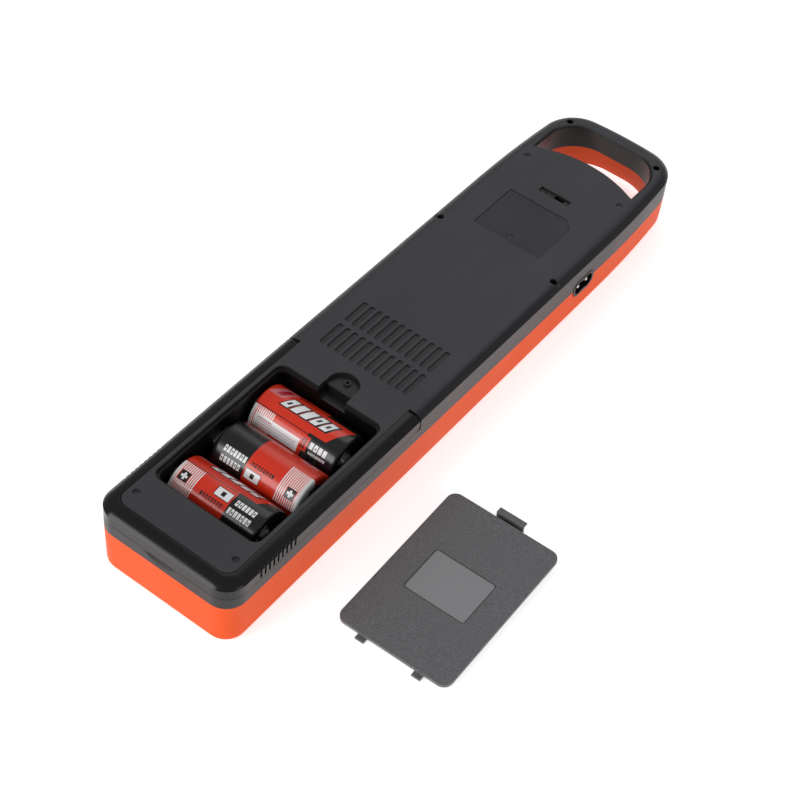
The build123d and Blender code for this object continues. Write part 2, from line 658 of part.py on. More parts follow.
LINK_WIDTH = 6.0
LINK_THICK = 0.4
with BuildPart() as link_strips:
    for link_side, low_cell, high_cell in ((1, "middle", "far"), (-1, "near", "middle")):
        low = CELLS[low_cell][0] - LINK_WIDTH / 2
        high = CELLS[high_cell][0] + LINK_WIDTH / 2
        link_x = link_side * (TRAY_HALF + TRAY_WALL)
        with BuildSketch(across(link_x, (low + high) / 2, -CELL_DEPTH)):
            Rectangle(high - low, LINK_WIDTH)
        extrude(amount=link_side * LINK_THICK)
link_strips.part.label = "link_strips"
export_step(link_strips.part, "parts/link_strips.step")

# ---------------------------------------------------------------- battery cover, laid beside the case
COVER_HALF = BAY_HALF - CLEAR
COVER_LENGTH = BAY_HIGH - BAY_LOW - 2 * CLEAR
TAB_REACH = 2.6
TAB_DROP = 4.2                 # cover's face to the tabs' lowest edge
TAB_SPREAD = 18.2
TAB_WIDTH = 5.6
LATCH_REACH = 5.4
LATCH_WIDTH = 17.6
LATCH_SHEET = 1.2
COVER_X = 110.9
COVER_Y = 102.7 - ORIGIN_FROM_BASE
COVER_TURN = 1.0               # degrees, seen from above
cover_span = COVER_LENGTH + TAB_REACH + LATCH_REACH / 2
COVER_TILT = degrees(asin((LATCH_DROP - TAB_DROP) / cover_span))
cover_height = TAB_DROP + (LATCH_DROP - TAB_DROP) * (COVER_LENGTH / 2 + TAB_REACH) / cover_span
COVER = (
    Plane((COVER_X, COVER_Y, cover_height))
    .rotated((0, 0, COVER_TURN))
    .rotated((COVER_TILT, 0, 0))
)
PATCH_HALF_X = 19.2
PATCH_HALF_Y = 14.9
PATCH_GROOVE = 0.7
PATCH_SINK = 0.6

with BuildPart() as battery_cover:
    with BuildSketch(COVER):
        RectangleRounded(2 * COVER_HALF, COVER_LENGTH, BAY_CORNER - CLEAR)
    extrude(amount=-COVER_THICK)
    # Two hooks at the base end, lower than the cover's face.
    with BuildSketch(COVER.offset(-TAB_DROP)):
        with Locations((-TAB_SPREAD, 0), (TAB_SPREAD, 0)):
            with Locations((0, -COVER_LENGTH / 2 + 1.5)):
                Rectangle(TAB_WIDTH, 3.0)
    extrude(amount=TAB_DROP - COVER_THICK)
    with BuildSketch(COVER.offset(-TAB_DROP)):
        with Locations((-TAB_SPREAD, 0), (TAB_SPREAD, 0)):
            with Locations((0, -COVER_LENGTH / 2 - TAB_REACH / 2)):
                Rectangle(TAB_WIDTH, TAB_REACH)
    extrude(amount=1.5)
    # The sprung latch: a strip that loops down and back up to a finger rest.
    with BuildSketch(Plane(COVER.from_local_coords(Vector(-LATCH_WIDTH / 2, COVER_LENGTH / 2, 0)),
                           x_dir=COVER.y_dir, z_dir=COVER.x_dir)):
        with BuildLine():
            FilletPolyline(
                (-LATCH_SHEET, -COVER_THICK + 0.2),
                (-LATCH_SHEET, -LATCH_DROP),
                (LATCH_REACH - 1.2, -LATCH_DROP),
                (LATCH_REACH - 1.2, -1.4),
                (LATCH_REACH + 1.6, -1.4),
                (LATCH_REACH + 1.6, -0.2),
                (LATCH_REACH - 2.4, -0.2),
                (LATCH_REACH - 2.4, -LATCH_DROP + LATCH_SHEET),
                (0, -LATCH_DROP + LATCH_SHEET),
                (0, -COVER_THICK + 0.2),
                radius=0.45,
                close=True,
            )
        make_face()
    extrude(amount=LATCH_WIDTH)
    with BuildSketch(COVER):
        RectangleRounded(2 * (PATCH_HALF_X + PATCH_GROOVE), 2 * (PATCH_HALF_Y + PATCH_GROOVE), 2.4)
    extrude(amount=-PATCH_SINK, mode=Mode.SUBTRACT)
battery_cover.part.label = "battery_cover"
export_step(battery_cover.part, "parts/battery_cover.step")

with BuildPart() as cover_patch:
    with BuildSketch(COVER.offset(-PATCH_SINK)):
        RectangleRounded(2 * PATCH_HALF_X, 2 * PATCH_HALF_Y, 1.8)
    extrude(amount=PATCH_SINK - 0.15)
cover_patch.part.label = "cover_patch"
export_step(cover_patch.part, "parts/cover_patch.step")

# ---------------------------------------------------------------- mains inlet
INLET_BACK_X = 30.0
SOCKET_DEPTH = 12.6
SOCKET_RADIUS = 4.5
INLET_PIN_RADIUS = 1.15
INLET_PIN_START = 28.0
INLET_PIN_SET_BACK = 0.8

with BuildPart() as mains_inlet:
    with BuildSketch(across(INLET_BACK_X, INLET_Y, -INLET_DEPTH)):
        SlotOverall(INLET_LENGTH, INLET_HEIGHT)
    extrude(amount=INLET_FACE_X - INLET_BACK_X)
    with BuildSketch(across(38.5, INLET_Y, -INLET_DEPTH)):
        RectangleRounded(INLET_LENGTH + 4, INLET_HEIGHT + 3, 3.0)
    extrude(amount=2.0)
    with BuildSketch(across(INLET_FACE_X, INLET_Y, -INLET_DEPTH)):
        with Locations((-PIN_SPREAD / 2, 0), (PIN_SPREAD / 2, 0)):
            Circle(SOCKET_RADIUS)
        Rectangle(PIN_SPREAD, 2 * SOCKET_RADIUS - 1.4)
    extrude(amount=-SOCKET_DEPTH, mode=Mode.SUBTRACT)
    with BuildSketch(across(INLET_BACK_X, INLET_Y, -INLET_DEPTH)):
        with Locations((-PIN_SPREAD / 2, 0), (PIN_SPREAD / 2, 0)):
            Circle(INLET_PIN_RADIUS)
    extrude(amount=INLET_FACE_X - INLET_BACK_X, mode=Mode.SUBTRACT)
mains_inlet.part.label = "mains_inlet"
export_step(mains_inlet.part, "parts/mains_inlet.step")

with BuildPart() as inlet_pins:
    with BuildSketch(across(INLET_PIN_START, INLET_Y, -INLET_DEPTH)):
        with Locations((-PIN_SPREAD / 2, 0), (PIN_SPREAD / 2, 0)):
            Circle(INLET_PIN_RADIUS)
    extrude(amount=INLET_FACE_X - INLET_PIN_SET_BACK - INLET_PIN_START)
    for pin_end in inlet_pins.faces().sort_by(Axis.X)[-2:]:
        fillet(pin_end.edges(), 0.6)
inlet_pins.part.label = "inlet_pins"
export_step(inlet_pins.part, "parts/inlet_pins.step")

# ---------------------------------------------------------------- voltage selector
KNOB_LENGTH = 6.0
KNOB_WIDTH = 3.4
KNOB_TOP = 0.7
KNOB_FOOT = 5.0
RIVET_SPREAD = 9.2
RIVET_RADIUS = 0.75

with BuildPart() as selector_body:
    with BuildSketch(back(y=SELECTOR_Y, z=-9.5)):
        Rectangle(2 * SELECTOR_HALF + 1, 9.0)
    extrude(amount=9.5 - PANEL_THICKNESS)
    with BuildSketch(back(y=SELECTOR_Y, z=-KNOB_FOOT - CLEAR)):
        Rectangle(12.4, KNOB_WIDTH + 2 * CLEAR)
    extrude(amount=KNOB_FOOT, mode=Mode.SUBTRACT)
selector_body.part.label = "selector_body"
export_step(selector_body.part, "parts/selector_body.step")

with BuildPart() as selector_knob:
    with BuildSketch(back(x=-SELECTOR_TRAVEL / 2, y=SELECTOR_Y, z=-KNOB_FOOT)):
        Rectangle(KNOB_LENGTH, KNOB_WIDTH)
    extrude(amount=KNOB_FOOT - KNOB_TOP)
    # Fine grooves across the top give the fingertip a grip.
    with BuildSketch(back(x=-SELECTOR_TRAVEL / 2, y=SELECTOR_Y, z=-KNOB_TOP)):
        with GridLocations(1.2, 1, 4, 1):
            Rectangle(0.5, KNOB_WIDTH)
    extrude(amount=-0.4, mode=Mode.SUBTRACT)
selector_knob.part.label = "selector_knob"
export_step(selector_knob.part, "parts/selector_knob.step")

with BuildPart() as selector_rivets:
    with BuildSketch(back(y=SELECTOR_Y, z=-SELECTOR_SINK)):
        with Locations((-RIVET_SPREAD, 0), (RIVET_SPREAD, 0)):
            Circle(RIVET_RADIUS)
    extrude(amount=0.45)
    for rivet_top in selector_rivets.faces().sort_by(BACK_UP)[-2:]:
        fillet(rivet_top.edges(), 0.4)
selector_rivets.part.label = "selector_rivets"
export_step(selector_rivets.part, "parts/selector_rivets.step")

# ---------------------------------------------------------------- screws
CROSS_LENGTH = 2.2
CROSS_WIDTH = 0.55


def screws(places, head_radius, head_top, head_height, shank_end):
    """Cross-head self-tapping screws, square to the back panel."""
    with BuildPart() as group:
        with BuildSketch(back(z=-head_top - head_height)):
            with Locations(*places):
                Circle(head_radius)
        extrude(amount=head_height)
        fillet(group.faces().sort_by(BACK_UP)[-len(places):].edges(), head_height * 0.45)
        with BuildSketch(back(z=-head_top - head_height)):
            with Locations(*places):
                Circle(SHANK_RADIUS)
        extrude(amount=-(shank_end - head_top - head_height))
        with BuildSketch(back(z=-head_top)):
            with Locations(*places):
                Rectangle(CROSS_LENGTH, CROSS_WIDTH)
                Rectangle(CROSS_WIDTH, CROSS_LENGTH)
        extrude(amount=-head_height * 0.6, mode=Mode.SUBTRACT)
    return group.part


panel_screw_seat = PANEL_SCREW_SINK + LABEL_SINK
panel_screws = screws(PANEL_SCREWS, PANEL_SCREW_HEAD, panel_screw_seat - 0.9, 0.9, PANEL_BOSS_DEPTH - 1)
panel_screws.label = "panel_screws"
export_step(panel_screws, "parts/panel_screws.step")
case_screws = screws(DEEP_WELLS, WELL_RADIUS - 0.25, WELL_DEPTH - 1.6, 1.6, SEAM_DEPTH + 10)
case_screws.label = "case_screws"
export_step(case_screws, "parts/case_screws.step")

# ---------------------------------------------------------------- light at the front
DIFFUSER_TOP = 4.6
REFLECTOR_LIP = 5.0
REFLECTOR_TOP = 16.4
REFLECTOR_SHEET = 1.0
BOARD_SHEET = 1.6
LED_HEIGHT = 0.9
LED_SIZE = 5.0
light_length = LIGHT_HIGH - LIGHT_LOW

with BuildPart() as light_diffuser:
    with BuildSketch(front(FRONT_WALL)):
        add(rounded(LIGHT_HALF + 3, LIGHT_LOW - 3, LIGHT_HIGH + 3, LIGHT_CORNER + 2))
    extrude(amount=DIFFUSER_TOP - FRONT_WALL)
    with BuildSketch(front(FRONT_SET_BACK)):
        add(rounded(LIGHT_HALF - 0.2, LIGHT_LOW + 0.2, LIGHT_HIGH - 0.2, LIGHT_CORNER))
    extrude(amount=FRONT_WALL - FRONT_SET_BACK)
    # Fine ribs inside spread the light.
    with BuildSketch(front(DIFFUSER_TOP)):
        with Locations((0, (LIGHT_LOW + LIGHT_HIGH) / 2)):
            with GridLocations(4.0, 1, 15, 1):
                Rectangle(1.6, light_length - 8)
    extrude(amount=-0.8, mode=Mode.SUBTRACT)
light_diffuser.part.label = "light_diffuser"
export_step(light_diffuser.part, "parts/light_diffuser.step")

with BuildPart() as light_bezel:
    with BuildSketch(front(BEZEL_SINK)):
        add(
            rounded(
                LIGHT_HALF + BEZEL_WIDTH - 0.1,
                LIGHT_LOW - BEZEL_WIDTH + 0.1,
                LIGHT_HIGH + BEZEL_WIDTH - 0.1,
                11.0,
            )
        )
        add(rounded(LIGHT_HALF, LIGHT_LOW, LIGHT_HIGH, LIGHT_CORNER), mode=Mode.SUBTRACT)
    extrude(amount=BEZEL_SEAT - BEZEL_SINK)
light_bezel.part.label = "light_bezel"
export_step(light_bezel.part, "parts/light_bezel.step")

with BuildPart() as reflector:
    with BuildSketch(front(REFLECTOR_TOP)):
        add(rounded(24.0, LIGHT_LOW + 7, LIGHT_HIGH - 7, 3.0))
    with BuildSketch(front(REFLECTOR_LIP)):
        add(rounded(LIGHT_HALF + 1.5, LIGHT_LOW - 1.5, LIGHT_HIGH + 1.5, 9.0))
    loft()
    with BuildSketch(front(REFLECTOR_TOP - REFLECTOR_SHEET)):
        add(rounded(23.0, LIGHT_LOW + 8, LIGHT_HIGH - 8, 2.0))
    with BuildSketch(front(REFLECTOR_LIP)):
        add(rounded(LIGHT_HALF + 0.2, LIGHT_LOW - 0.2, LIGHT_HIGH + 0.2, 8.0))
    loft(mode=Mode.SUBTRACT)
reflector.part.label = "reflector"
export_step(reflector.part, "parts/reflector.step")

LED_BOARD_HALF = 19.0
led_board_low = REFLECTOR_TOP - REFLECTOR_SHEET - BOARD_SHEET
with BuildPart() as led_board:
    with BuildSketch(front(led_board_low)):
        add(rounded(LED_BOARD_HALF, LIGHT_LOW + 12, LIGHT_HIGH - 12, 1.0))
    extrude(amount=BOARD_SHEET)
led_board.part.label = "led_board"
export_step(led_board.part, "parts/led_board.step")

with BuildPart() as leds:
    with BuildSketch(front(led_board_low - LED_HEIGHT)):
        with Locations((0, (LIGHT_LOW + LIGHT_HIGH) / 2)):
            with GridLocations(20.0, 13.6, 2, 12):
                Rectangle(LED_SIZE, LED_SIZE)
    extrude(amount=LED_HEIGHT)
leds.part.label = "leds"
export_step(leds.part, "parts/leds.step")

# ---------------------------------------------------------------- power switch and charge light
SWITCH_HALF_X = 9.5
SWITCH_HALF_Y = 6.3
FLANGE_LOW = 3.2
ROCKER_HALF_X = 8.0
ROCKER_HALF_Y = 5.3
ROCKER_PIVOT = 5.6
ROCKER_REST = 8.0              # degrees from level when off
AXLE_RADIUS = 0.9


def rocker_plane(tilt):
    """A plane that faces -Y through the rocker's axle; its local X is the rocker's length."""
    centre = front(ROCKER_PIVOT).from_local_coords(Vector(0, SWITCH_Y, 0))
    return Plane(centre, x_dir=(cos(radians(tilt)), 0, sin(radians(tilt))), z_dir=(0, -1, 0))


with BuildPart() as switch_body:
    with BuildSketch(front(CUP_FLOOR)):
        with Locations((0, SWITCH_Y)):
            Rectangle(2 * SWITCH_HALF_X, 2 * SWITCH_HALF_Y)
    extrude(amount=13.0)
    with BuildSketch(front(FLANGE_LOW)):
        with Locations((0, SWITCH_Y)):
            RectangleRounded(23.0, 15.0, 1.2)
    extrude(amount=CUP_FLOOR - FLANGE_LOW)
    with BuildSketch(front(FLANGE_LOW)):
        with Locations((0, SWITCH_Y)):
            Rectangle(2 * ROCKER_HALF_X + 1.4, 2 * ROCKER_HALF_Y + 2 * CLEAR)
    extrude(amount=7.5, mode=Mode.SUBTRACT)
    with BuildSketch(rocker_plane(0)):
        Circle(AXLE_RADIUS + RUNNING)
    extrude(amount=ROCKER_HALF_Y + 0.9, both=True, mode=Mode.SUBTRACT)
switch_body.part.label = "switch_body"
export_step(switch_body.part, "parts/switch_body.step")

with BuildPart() as switch_rocker:
    with BuildSketch(rocker_plane(ROCKER_REST)):
        with BuildLine():
            FilletPolyline(
                (-ROCKER_HALF_X, -3.2),
                (0, -2.0),
                (ROCKER_HALF_X, -3.2),
                (ROCKER_HALF_X, -0.6),
                (3.0, 3.0),
                (-3.0, 3.0),
                (-ROCKER_HALF_X, -0.6),
                radius=0.5,
                close=True,
            )
        make_face()
    extrude(amount=ROCKER_HALF_Y, both=True)
    with BuildSketch(rocker_plane(0)):
        Circle(AXLE_RADIUS)
    extrude(amount=ROCKER_HALF_Y + 0.7, both=True)
switch_rocker.part.label = "switch_rocker"
export_step(switch_rocker.part, "parts/switch_rocker.step")

with BuildPart() as charge_light:
    with BuildSketch(front(0.5)):
        with Locations((24.0, SWITCH_Y)):
            Circle(1.6)
    extrude(amount=4.0)
    with BuildSketch(front(FRONT_WALL)):
        with Locations((24.0, SWITCH_Y)):
            Circle(2.6)
    extrude(amount=1.2)
charge_light.part.label = "charge_light"
export_step(charge_light.part, "parts/charge_light.step")

# ---------------------------------------------------------------- transformer and circuit board
LEG = 11.0
WINDOW_LONG = 17.0
WINDOW_WIDE = 6.0

with BuildPart() as transformer_core:
    with BuildSketch(back(CORE_X, CORE_Y, -CORE_LOW)):
        Rectangle(CORE_LONG, CORE_WIDE)
        with Locations(((LEG + WINDOW_WIDE) / 2, 0), (-(LEG + WINDOW_WIDE) / 2, 0)):
            Rectangle(WINDOW_WIDE, WINDOW_LONG, mode=Mode.SUBTRACT)
    extrude(amount=CORE_LOW - CORE_HIGH)
transformer_core.part.label = "transformer_core"
export_step(transformer_core.part, "parts/transformer_core.step")

with BuildPart() as transformer_winding:
    with BuildSketch(back(CORE_X, CORE_Y, -CORE_LOW - 1.6)):
        RectangleRounded(LEG + 2 * WINDOW_WIDE - 0.8, WINDOW_LONG - 0.4, 1.5)
    extrude(amount=CORE_LOW - CORE_HIGH + 4.0)
    with BuildSketch(back(CORE_X, CORE_Y, -CORE_LOW)):
        Rectangle(LEG, CORE_WIDE)
    extrude(amount=CORE_LOW - CORE_HIGH, mode=Mode.SUBTRACT)
transformer_winding.part.label = "transformer_winding"
export_step(transformer_winding.part, "parts/transformer_winding.step")


with BuildPart() as circuit_board:
    with BuildSketch(back(y=BOARD_Y, z=-BOARD_TOP - BOARD_SHEET)):
        Rectangle(2 * BOARD_HALF_X, 2 * BOARD_HALF_Y)
    extrude(amount=BOARD_SHEET)
    with BuildSketch(back(z=-BOARD_TOP)):
        with Locations(*board_corners):
            Circle(SHANK_RADIUS + 0.05)
    extrude(amount=-BOARD_SHEET, mode=Mode.SUBTRACT)
circuit_board.part.label = "circuit_board"
export_step(circuit_board.part, "parts/circuit_board.step")

with BuildPart() as capacitors:
    with BuildSketch(back(z=-BOARD_TOP)):
        with Locations((-10.0, BOARD_Y - 12), (6.0, BOARD_Y - 12)):
            Circle(5.2)
        with Locations((14.0, BOARD_Y + 14)):
            Circle(3.2)
    extrude(amount=14.0)
capacitors.part.label = "capacitors"
export_step(capacitors.part, "parts/capacitors.step")

with BuildPart() as diodes:
    for diode_y in range(4):
        with BuildSketch(across(-14.0, BOARD_Y + 4 + 5 * diode_y, -BOARD_TOP + 1.4)):
            Circle(1.4)
        extrude(amount=6.0)
diodes.part.label = "diodes"
export_step(diodes.part, "parts/diodes.step")

with BuildPart() as board_screws:
    with BuildSketch(back(z=-BOARD_TOP - BOARD_SHEET)):
        with Locations(*board_corners):
            Circle(2.2)
    extrude(amount=-1.2)
    with BuildSketch(back(z=-BOARD_TOP - BOARD_SHEET)):
        with Locations(*board_corners):
            Circle(SHANK_RADIUS)
    extrude(amount=7.0)
board_screws.part.label = "board_screws"
export_step(board_screws.part, "parts/board_screws.step")

# ---------------------------------------------------------------- wires held inside the case
WIRE_RADIUS = 0.9


def wire(points, bend):
    """A wire through places measured on BACK, in straight runs joined by equal bends."""
    route = [BACK.from_local_coords(Vector(*point)) for point in points]
    with BuildPart() as lead:
        with BuildLine() as path:
            FilletPolyline(*route, radius=bend)
        with BuildSketch(Plane(path.line @ 0, z_dir=path.line % 0)):
            Circle(WIRE_RADIUS)
        sweep()
    return lead.part


wire_level = -INLET_DEPTH
mains_wires = Compound(
    label="mains_wires",
    children=[
        wire(
            [
                (INLET_PIN_START, INLET_Y + pin_side * PIN_SPREAD / 2, wire_level),
                (18, INLET_Y + pin_side * PIN_SPREAD / 2, wire_level),
                (12, INLET_Y + 4 + pin_side * 2, -14),
                (CORE_X + CORE_LONG / 2, INLET_Y + 4 + pin_side * 2, -14),
            ],
            3.0,
        )
        for pin_side in (-1, 1)
    ],
)
export_step(mains_wires, "parts/mains_wires.step")

wire_x = TRAY_HALF + TRAY_WALL + 3.2
battery_wires = Compound(
    label="battery_wires",
    children=[
        wire(
            [
                (wire_side * (TRAY_HALF + TRAY_WALL), wire_y, -CELL_DEPTH - 5),
                (wire_side * wire_x, wire_y, -CELL_DEPTH - 5),
                (wire_side * wire_x, 190, -CELL_DEPTH - 5),
                (wire_side * 14, 205, -BOARD_TOP + 2.4),
                (wire_side * 14, BOARD_Y - BOARD_HALF_Y + 6, -BOARD_TOP + 2.4),
            ],
            1.8,
        )
        for wire_side, wire_y in ((-1, CELLS["far"][0] + 8), (1, CELLS["near"][0] + 8))
    ],
)
export_step(battery_wires, "parts/battery_wires.step")
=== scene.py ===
# %% [markdown]
# # A hand lantern on its face, with its battery cover off
#
# The lantern is two moulded shells: a black back and an orange front. A stand folds flush around the
# base end, three cells lie in an open bay, and the bay's cover lies beside them. The model from the
# workshop drawing is loaded first and never moved. Everything after that is finish: edges eased as
# a mould eases them, plastic with its spark-eroded grain, printed sleeves on the cells.

# %% Load the frame
import json
from math import cos, radians, sin, tau

import bmesh
import bpy
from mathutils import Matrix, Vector


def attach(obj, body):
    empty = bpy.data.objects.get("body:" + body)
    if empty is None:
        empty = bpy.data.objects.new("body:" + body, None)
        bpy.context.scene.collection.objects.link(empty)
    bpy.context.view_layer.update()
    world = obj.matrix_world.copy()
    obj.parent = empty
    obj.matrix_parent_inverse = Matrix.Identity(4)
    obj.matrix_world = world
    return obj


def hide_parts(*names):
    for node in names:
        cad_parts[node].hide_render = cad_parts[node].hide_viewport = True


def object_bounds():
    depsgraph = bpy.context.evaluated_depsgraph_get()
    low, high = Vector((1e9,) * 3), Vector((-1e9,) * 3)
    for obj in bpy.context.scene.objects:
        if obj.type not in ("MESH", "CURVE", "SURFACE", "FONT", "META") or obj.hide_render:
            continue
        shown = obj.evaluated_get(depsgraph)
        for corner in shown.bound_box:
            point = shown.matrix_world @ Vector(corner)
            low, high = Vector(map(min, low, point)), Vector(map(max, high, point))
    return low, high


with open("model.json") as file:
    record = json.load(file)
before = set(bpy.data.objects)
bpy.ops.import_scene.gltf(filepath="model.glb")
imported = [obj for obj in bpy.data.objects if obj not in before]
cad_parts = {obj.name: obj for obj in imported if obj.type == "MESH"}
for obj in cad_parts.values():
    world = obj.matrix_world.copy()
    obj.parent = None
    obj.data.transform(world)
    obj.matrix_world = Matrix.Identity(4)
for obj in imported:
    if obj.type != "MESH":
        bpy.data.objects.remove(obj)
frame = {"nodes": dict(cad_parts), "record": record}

cad_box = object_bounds()
scene = bpy.context.scene
MM = 0.001

# %% [markdown]
# ## Places on the back
#
# The back panel falls gently from the base end towards the handle. Everything on the back is laid out
# by its distance from the base end and its height over that panel, so the finishes use the same two
# measures, in millimetres.

# %% Places on the back
ORIGIN_FROM_BASE = 86.9
CASE_DEPTH = 48.0
PANEL_END = 392.4
BACK_FALL = radians(1.39)


def back_place(x, y, z):
    """A place in metres from the distance from the base end and the height over the back panel."""
    return Vector((
        x,
        -ORIGIN_FROM_BASE + y * cos(BACK_FALL) + z * sin(BACK_FALL),
        CASE_DEPTH - y * sin(BACK_FALL) + z * cos(BACK_FALL),
    )) * MM


print("the panel's far end is", round(back_place(0, PANEL_END, 0).z / MM, 1), "mm over the floor")

# %% [markdown]
# ## The camera
#
# A long lens keeps the case's sides nearly parallel, which is how catalogues show such things. The
# camera is placed by a compass direction, a height angle and a distance from a spot on the floor,
# because those are easier to think about than three coordinates. A small roll leans the case.

# %% Camera
CAMERA_TARGET = Vector((0.0090, 0.1050, 0.0))
CAMERA_AZIMUTH = radians(33.76)
CAMERA_ELEVATION = radians(49.10)
CAMERA_ROLL = radians(5.14)
CAMERA_DISTANCE = 1.1554
LENS_MM = 90.8

towards_camera = Vector((
    sin(CAMERA_AZIMUTH) * cos(CAMERA_ELEVATION),
    -cos(CAMERA_AZIMUTH) * cos(CAMERA_ELEVATION),
    sin(CAMERA_ELEVATION),
))
camera = bpy.data.objects.new("camera", bpy.data.cameras.new("camera"))
camera.data.lens = LENS_MM
camera.location = CAMERA_TARGET + towards_camera * CAMERA_DISTANCE
camera.rotation_euler = (-towards_camera).to_track_quat("-Z", "Y").to_euler()
camera.rotation_euler.rotate_axis("Z", CAMERA_ROLL)
scene.collection.objects.link(camera)
scene.camera = camera
print("camera at", [round(v, 3) for v in camera.location])

# %% [markdown]
# ## The studio
#
# The object stands on a pale sweep. Dark glossy plastic shows what is around it more than it shows
# its own colour, so the lights are large soft panels: a broad one in front and to the left, a weaker
# one behind, and a small one that reaches the long side with the mains inlet.

# %% Floor
FLOOR_SIZE = 12.0

floor_mesh = bpy.data.meshes.new("floor")
half = FLOOR_SIZE / 2
floor_mesh.from_pydata(
    [(-half, -half, 0), (half, -half, 0), (half, half, 0), (-half, half, 0)], [], [(0, 1, 2, 3)]
)
floor = bpy.data.objects.new("floor", floor_mesh)
floor.location.z = -0.0002
scene.collection.objects.link(floor)

floor_paint = bpy.data.materials.new("pale floor")
floor_paint.use_nodes = True
paint = floor_paint.node_tree.nodes["Principled BSDF"]
paint.inputs["Base Color"].default_value = (0.93, 0.93, 0.93, 1)
paint.inputs["Roughness"].default_value = 0.45
paint.inputs["Emission Color"].default_value = (1, 1, 1, 1)
paint.inputs["Emission Strength"].default_value = 0.62
floor_mesh.materials.append(floor_paint)
print("floor", FLOOR_SIZE, "m across")

# %% Light
SCENE_CENTRE = (cad_box[0] + cad_box[1]) / 2


def soft_panel(name, place, size, watts):
    """A square area light that looks at the middle of the object."""
    light = bpy.data.lights.new(name, "AREA")
    light.size = size
    light.energy = watts
    lamp = bpy.data.objects.new(name, light)
    lamp.location = place
    lamp.rotation_euler = (SCENE_CENTRE - Vector(place)).to_track_quat("-Z", "Y").to_euler()
    scene.collection.objects.link(lamp)


soft_panel("front panel", (-0.9, -1.9, 1.1), 1.4, 31)
soft_panel("back panel", (-0.5, 1.9, 1.9), 1.6, 8)
soft_panel("right panel", (2.2, 0.1, 0.9), 1.0, 9)

world = bpy.data.worlds.new("studio")
scene.world = world
world.use_nodes = True
world.node_tree.nodes["Background"].inputs["Color"].default_value = (0.95, 0.97, 1.0, 1)
world.node_tree.nodes["Background"].inputs["Strength"].default_value = 0.34
scene.view_settings.view_transform = "Standard"

# %% [markdown]
# ## Effects that several finishes share
#
# Moulded plastic takes its surface from the tool. A spark-eroded tool leaves a very fine pebble,
# and handling leaves faint, wide changes in shine. Both are node groups, so that each finish can
# use them with its own size and depth. They work in the object's own coordinates, in metres, so
# the grain stays with a piece when it moves. The helpers below keep the wiring short.

# %% Node helpers
def new_group(name, inputs, outputs):
    """An empty shader node group with float or colour sockets."""
    group = bpy.data.node_groups.new(name, "ShaderNodeTree")
    for label, value in inputs.items():
        kind = "NodeSocketColor" if isinstance(value, tuple) else "NodeSocketFloat"
        socket = group.interface.new_socket(label, in_out="INPUT", socket_type=kind)
        socket.default_value = value
    for label, kind in outputs.items():
        group.interface.new_socket(label, in_out="OUTPUT", socket_type=kind)
    return group, group.nodes.new("NodeGroupInput"), group.nodes.new("NodeGroupOutput")


def feed(tree, socket, value):
    """Links a socket, or sets a plain value on it."""
    if isinstance(value, bpy.types.NodeSocket):
        tree.links.new(value, socket)
    elif value is not None:
        socket.default_value = value


def calc(tree, operation, *values, clamp=False):
    """One Math node, with its inputs given as sockets or numbers."""
    node = tree.nodes.new("ShaderNodeMath")
    node.operation = operation
    node.use_clamp = clamp
    for socket, value in zip(node.inputs, values):
        feed(tree, socket, value)
    return node.outputs[0]


def blend_colours(tree, mask, under, over):
    """Shows `over` where the mask is 1 and `under` where it is 0."""
    node = tree.nodes.new("ShaderNodeMix")
    node.data_type = "RGBA"
    feed(tree, node.inputs["Factor"], mask)
    feed(tree, node.inputs["A"], under)
    feed(tree, node.inputs["B"], over)
    return node.outputs["Result"]


def remap(tree, value, low, high, new_low, new_high):
    """A clamped Map Range node."""
    node = tree.nodes.new("ShaderNodeMapRange")
    for label, entry in zip(
        ("Value", "From Min", "From Max", "To Min", "To Max"), (value, low, high, new_low, new_high)
    ):
        feed(tree, node.inputs[label], entry)
    return node.outputs["Result"]


def noise(tree, size, detail=3.0, stretch=None):
    """Noise on the object's own coordinates; `size` is in metres."""
    place = tree.nodes.new("ShaderNodeTexCoord").outputs["Object"]
    if stretch:
        mapping = tree.nodes.new("ShaderNodeMapping")
        mapping.inputs["Scale"].default_value = stretch
        tree.links.new(place, mapping.inputs["Vector"])
        place = mapping.outputs["Vector"]
    node = tree.nodes.new("ShaderNodeTexNoise")
    tree.links.new(place, node.inputs["Vector"])
    scale = calc(tree, "DIVIDE", 1.0, size) if isinstance(size, bpy.types.NodeSocket) else 1.0 / size
    feed(tree, node.inputs["Scale"], scale)
    node.inputs["Detail"].default_value = detail
    return node.outputs["Fac"]


# %% [markdown]
# The pebble is one noise, read twice: as a height that bends the light, and as a small change of
# shade, because the bottoms of the pits stay darker than the tops.

# %% Group: moulded grain
grain_group, grain_in, grain_out = new_group(
    "moulded grain",
    {"Grain size": 0.4 * MM, "Shade spread": 0.1},
    {"Height": "NodeSocketFloat", "Shade": "NodeSocketFloat"},
)
pebbles = noise(grain_group, grain_in.outputs["Grain size"], detail=2.0)
raised = remap(grain_group, pebbles, 0.35, 0.65, 0.0, 1.0)
grain_group.links.new(raised, grain_out.inputs["Height"])
darkest = calc(grain_group, "SUBTRACT", 1.0, grain_in.outputs["Shade spread"])
lightest = calc(grain_group, "ADD", 1.0, grain_in.outputs["Shade spread"])
shade = remap(grain_group, pebbles, 0.35, 0.65, darkest, lightest)
grain_group.links.new(shade, grain_out.inputs["Shade"])
print("group", grain_group.name, "has", len(grain_group.nodes), "nodes")

# %% [markdown]
# Fingers polish some places and leave others dull, in patches a few centimetres across. A few specks
# of dust settle on any black moulding as soon as it is put down.

